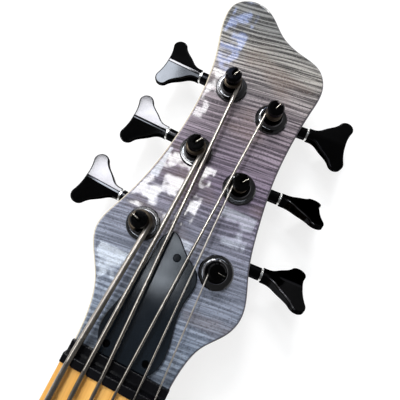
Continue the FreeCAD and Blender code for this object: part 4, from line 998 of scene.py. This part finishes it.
scene.world = bpy.data.worlds.new("studio")
scene.world.use_nodes = True
room = Graph(scene.world.node_tree)
along, across, height = room.split(room.add("ShaderNodeTexCoord", output="Generated"))
window_side = along * WINDOW_ALONG + across * WINDOW_ACROSS
wall_level = room.add("ShaderNodeMapRange", None, {
    0: window_side, 1: WALL_FROM, 2: WALL_TO, 3: FAR_WALL_LEVEL, 4: NEAR_WALL_LEVEL})
level = room.add("ShaderNodeMapRange", None, {0: height, 3: wall_level, 4: ZENITH_LEVEL})
air = room.add("ShaderNodeBackground", None, {"Color": rgba((1, 1, 1)), "Strength": level})
room.add("ShaderNodeOutputWorld", None, {0: air})
print("a dim room")

# %% [markdown]
# Each pane has one thing to draw. The two windows whiten the tip-ward facets of the bass keys and the
# sills a facet nearer the nut. The leafy panes lie on the lacquer and on the cover. The wide wall on the
# bass side draws the pale line down every string, and the low light past the tip draws the edge of the
# nut and the rims of the bushings.

# %% Windows
WHITE = (1.0, 1.0, 1.0)
SHADE = (0.82, 0.90, 1.0)
LEAF_SPOTS = 2.2
# name, sides along the head, sides across it, radiance, tint, and the leaves before it: spots and shift
PANES = (
    ("window", (0.54, 0.65), (0.33, 0.50), 80.0, WHITE, None),
    ("second_window", (0.67, 0.77), (0.31, 0.48), 80.0, WHITE, None),
    ("sill", (0.21, 0.32), (0.34, 0.43), 55.0, (0.88, 0.95, 1.0), None),
    ("low_sill", (0.21, 0.32), (0.25, 0.34), 16.0, (0.86, 0.94, 1.0), None),
    ("low_window", (0.10, 0.31), (0.09, 0.30), 10.0, WHITE, (2.6, 0.4)),
    ("high_window", (0.45, 0.64), (0.21, 0.285), 8.0, WHITE, (3.0, 5.0)),
    ("sky_window", (0.64, 0.95), (0.20, 0.29), 4.8, (0.40, 0.53, 1.0), (3.6, 15.7)),
    ("lobe_light", (-0.17, -0.04), (0.20, 0.31), 6.0, (0.85, 0.93, 1.0), (LEAF_SPOTS, 2.0)),
    ("treble_light", (0.11, 0.22), (-0.09, 0.02), 3.6, SHADE, (LEAF_SPOTS, 7.0)),
    ("cover_light", (-0.10, 0.07), (0.045, 0.15), 4.2, SHADE, (LEAF_SPOTS, 3.0)),
    ("bass_wall", (-0.50, 0.90), (0.55, 1.60), 2.8, WHITE, None),
    ("end_light", (1.70, 2.15), (0.00, 0.30), 22.0, WHITE, None),
)
for name, s_share, t_share, radiance, tint, leaves in PANES:
    lamp = pane(name, s_share, t_share, radiance, tint)
    if leaves:
        behind_leaves(lamp, *leaves)
print("lamps:", [lamp.name for lamp in bpy.data.lights])
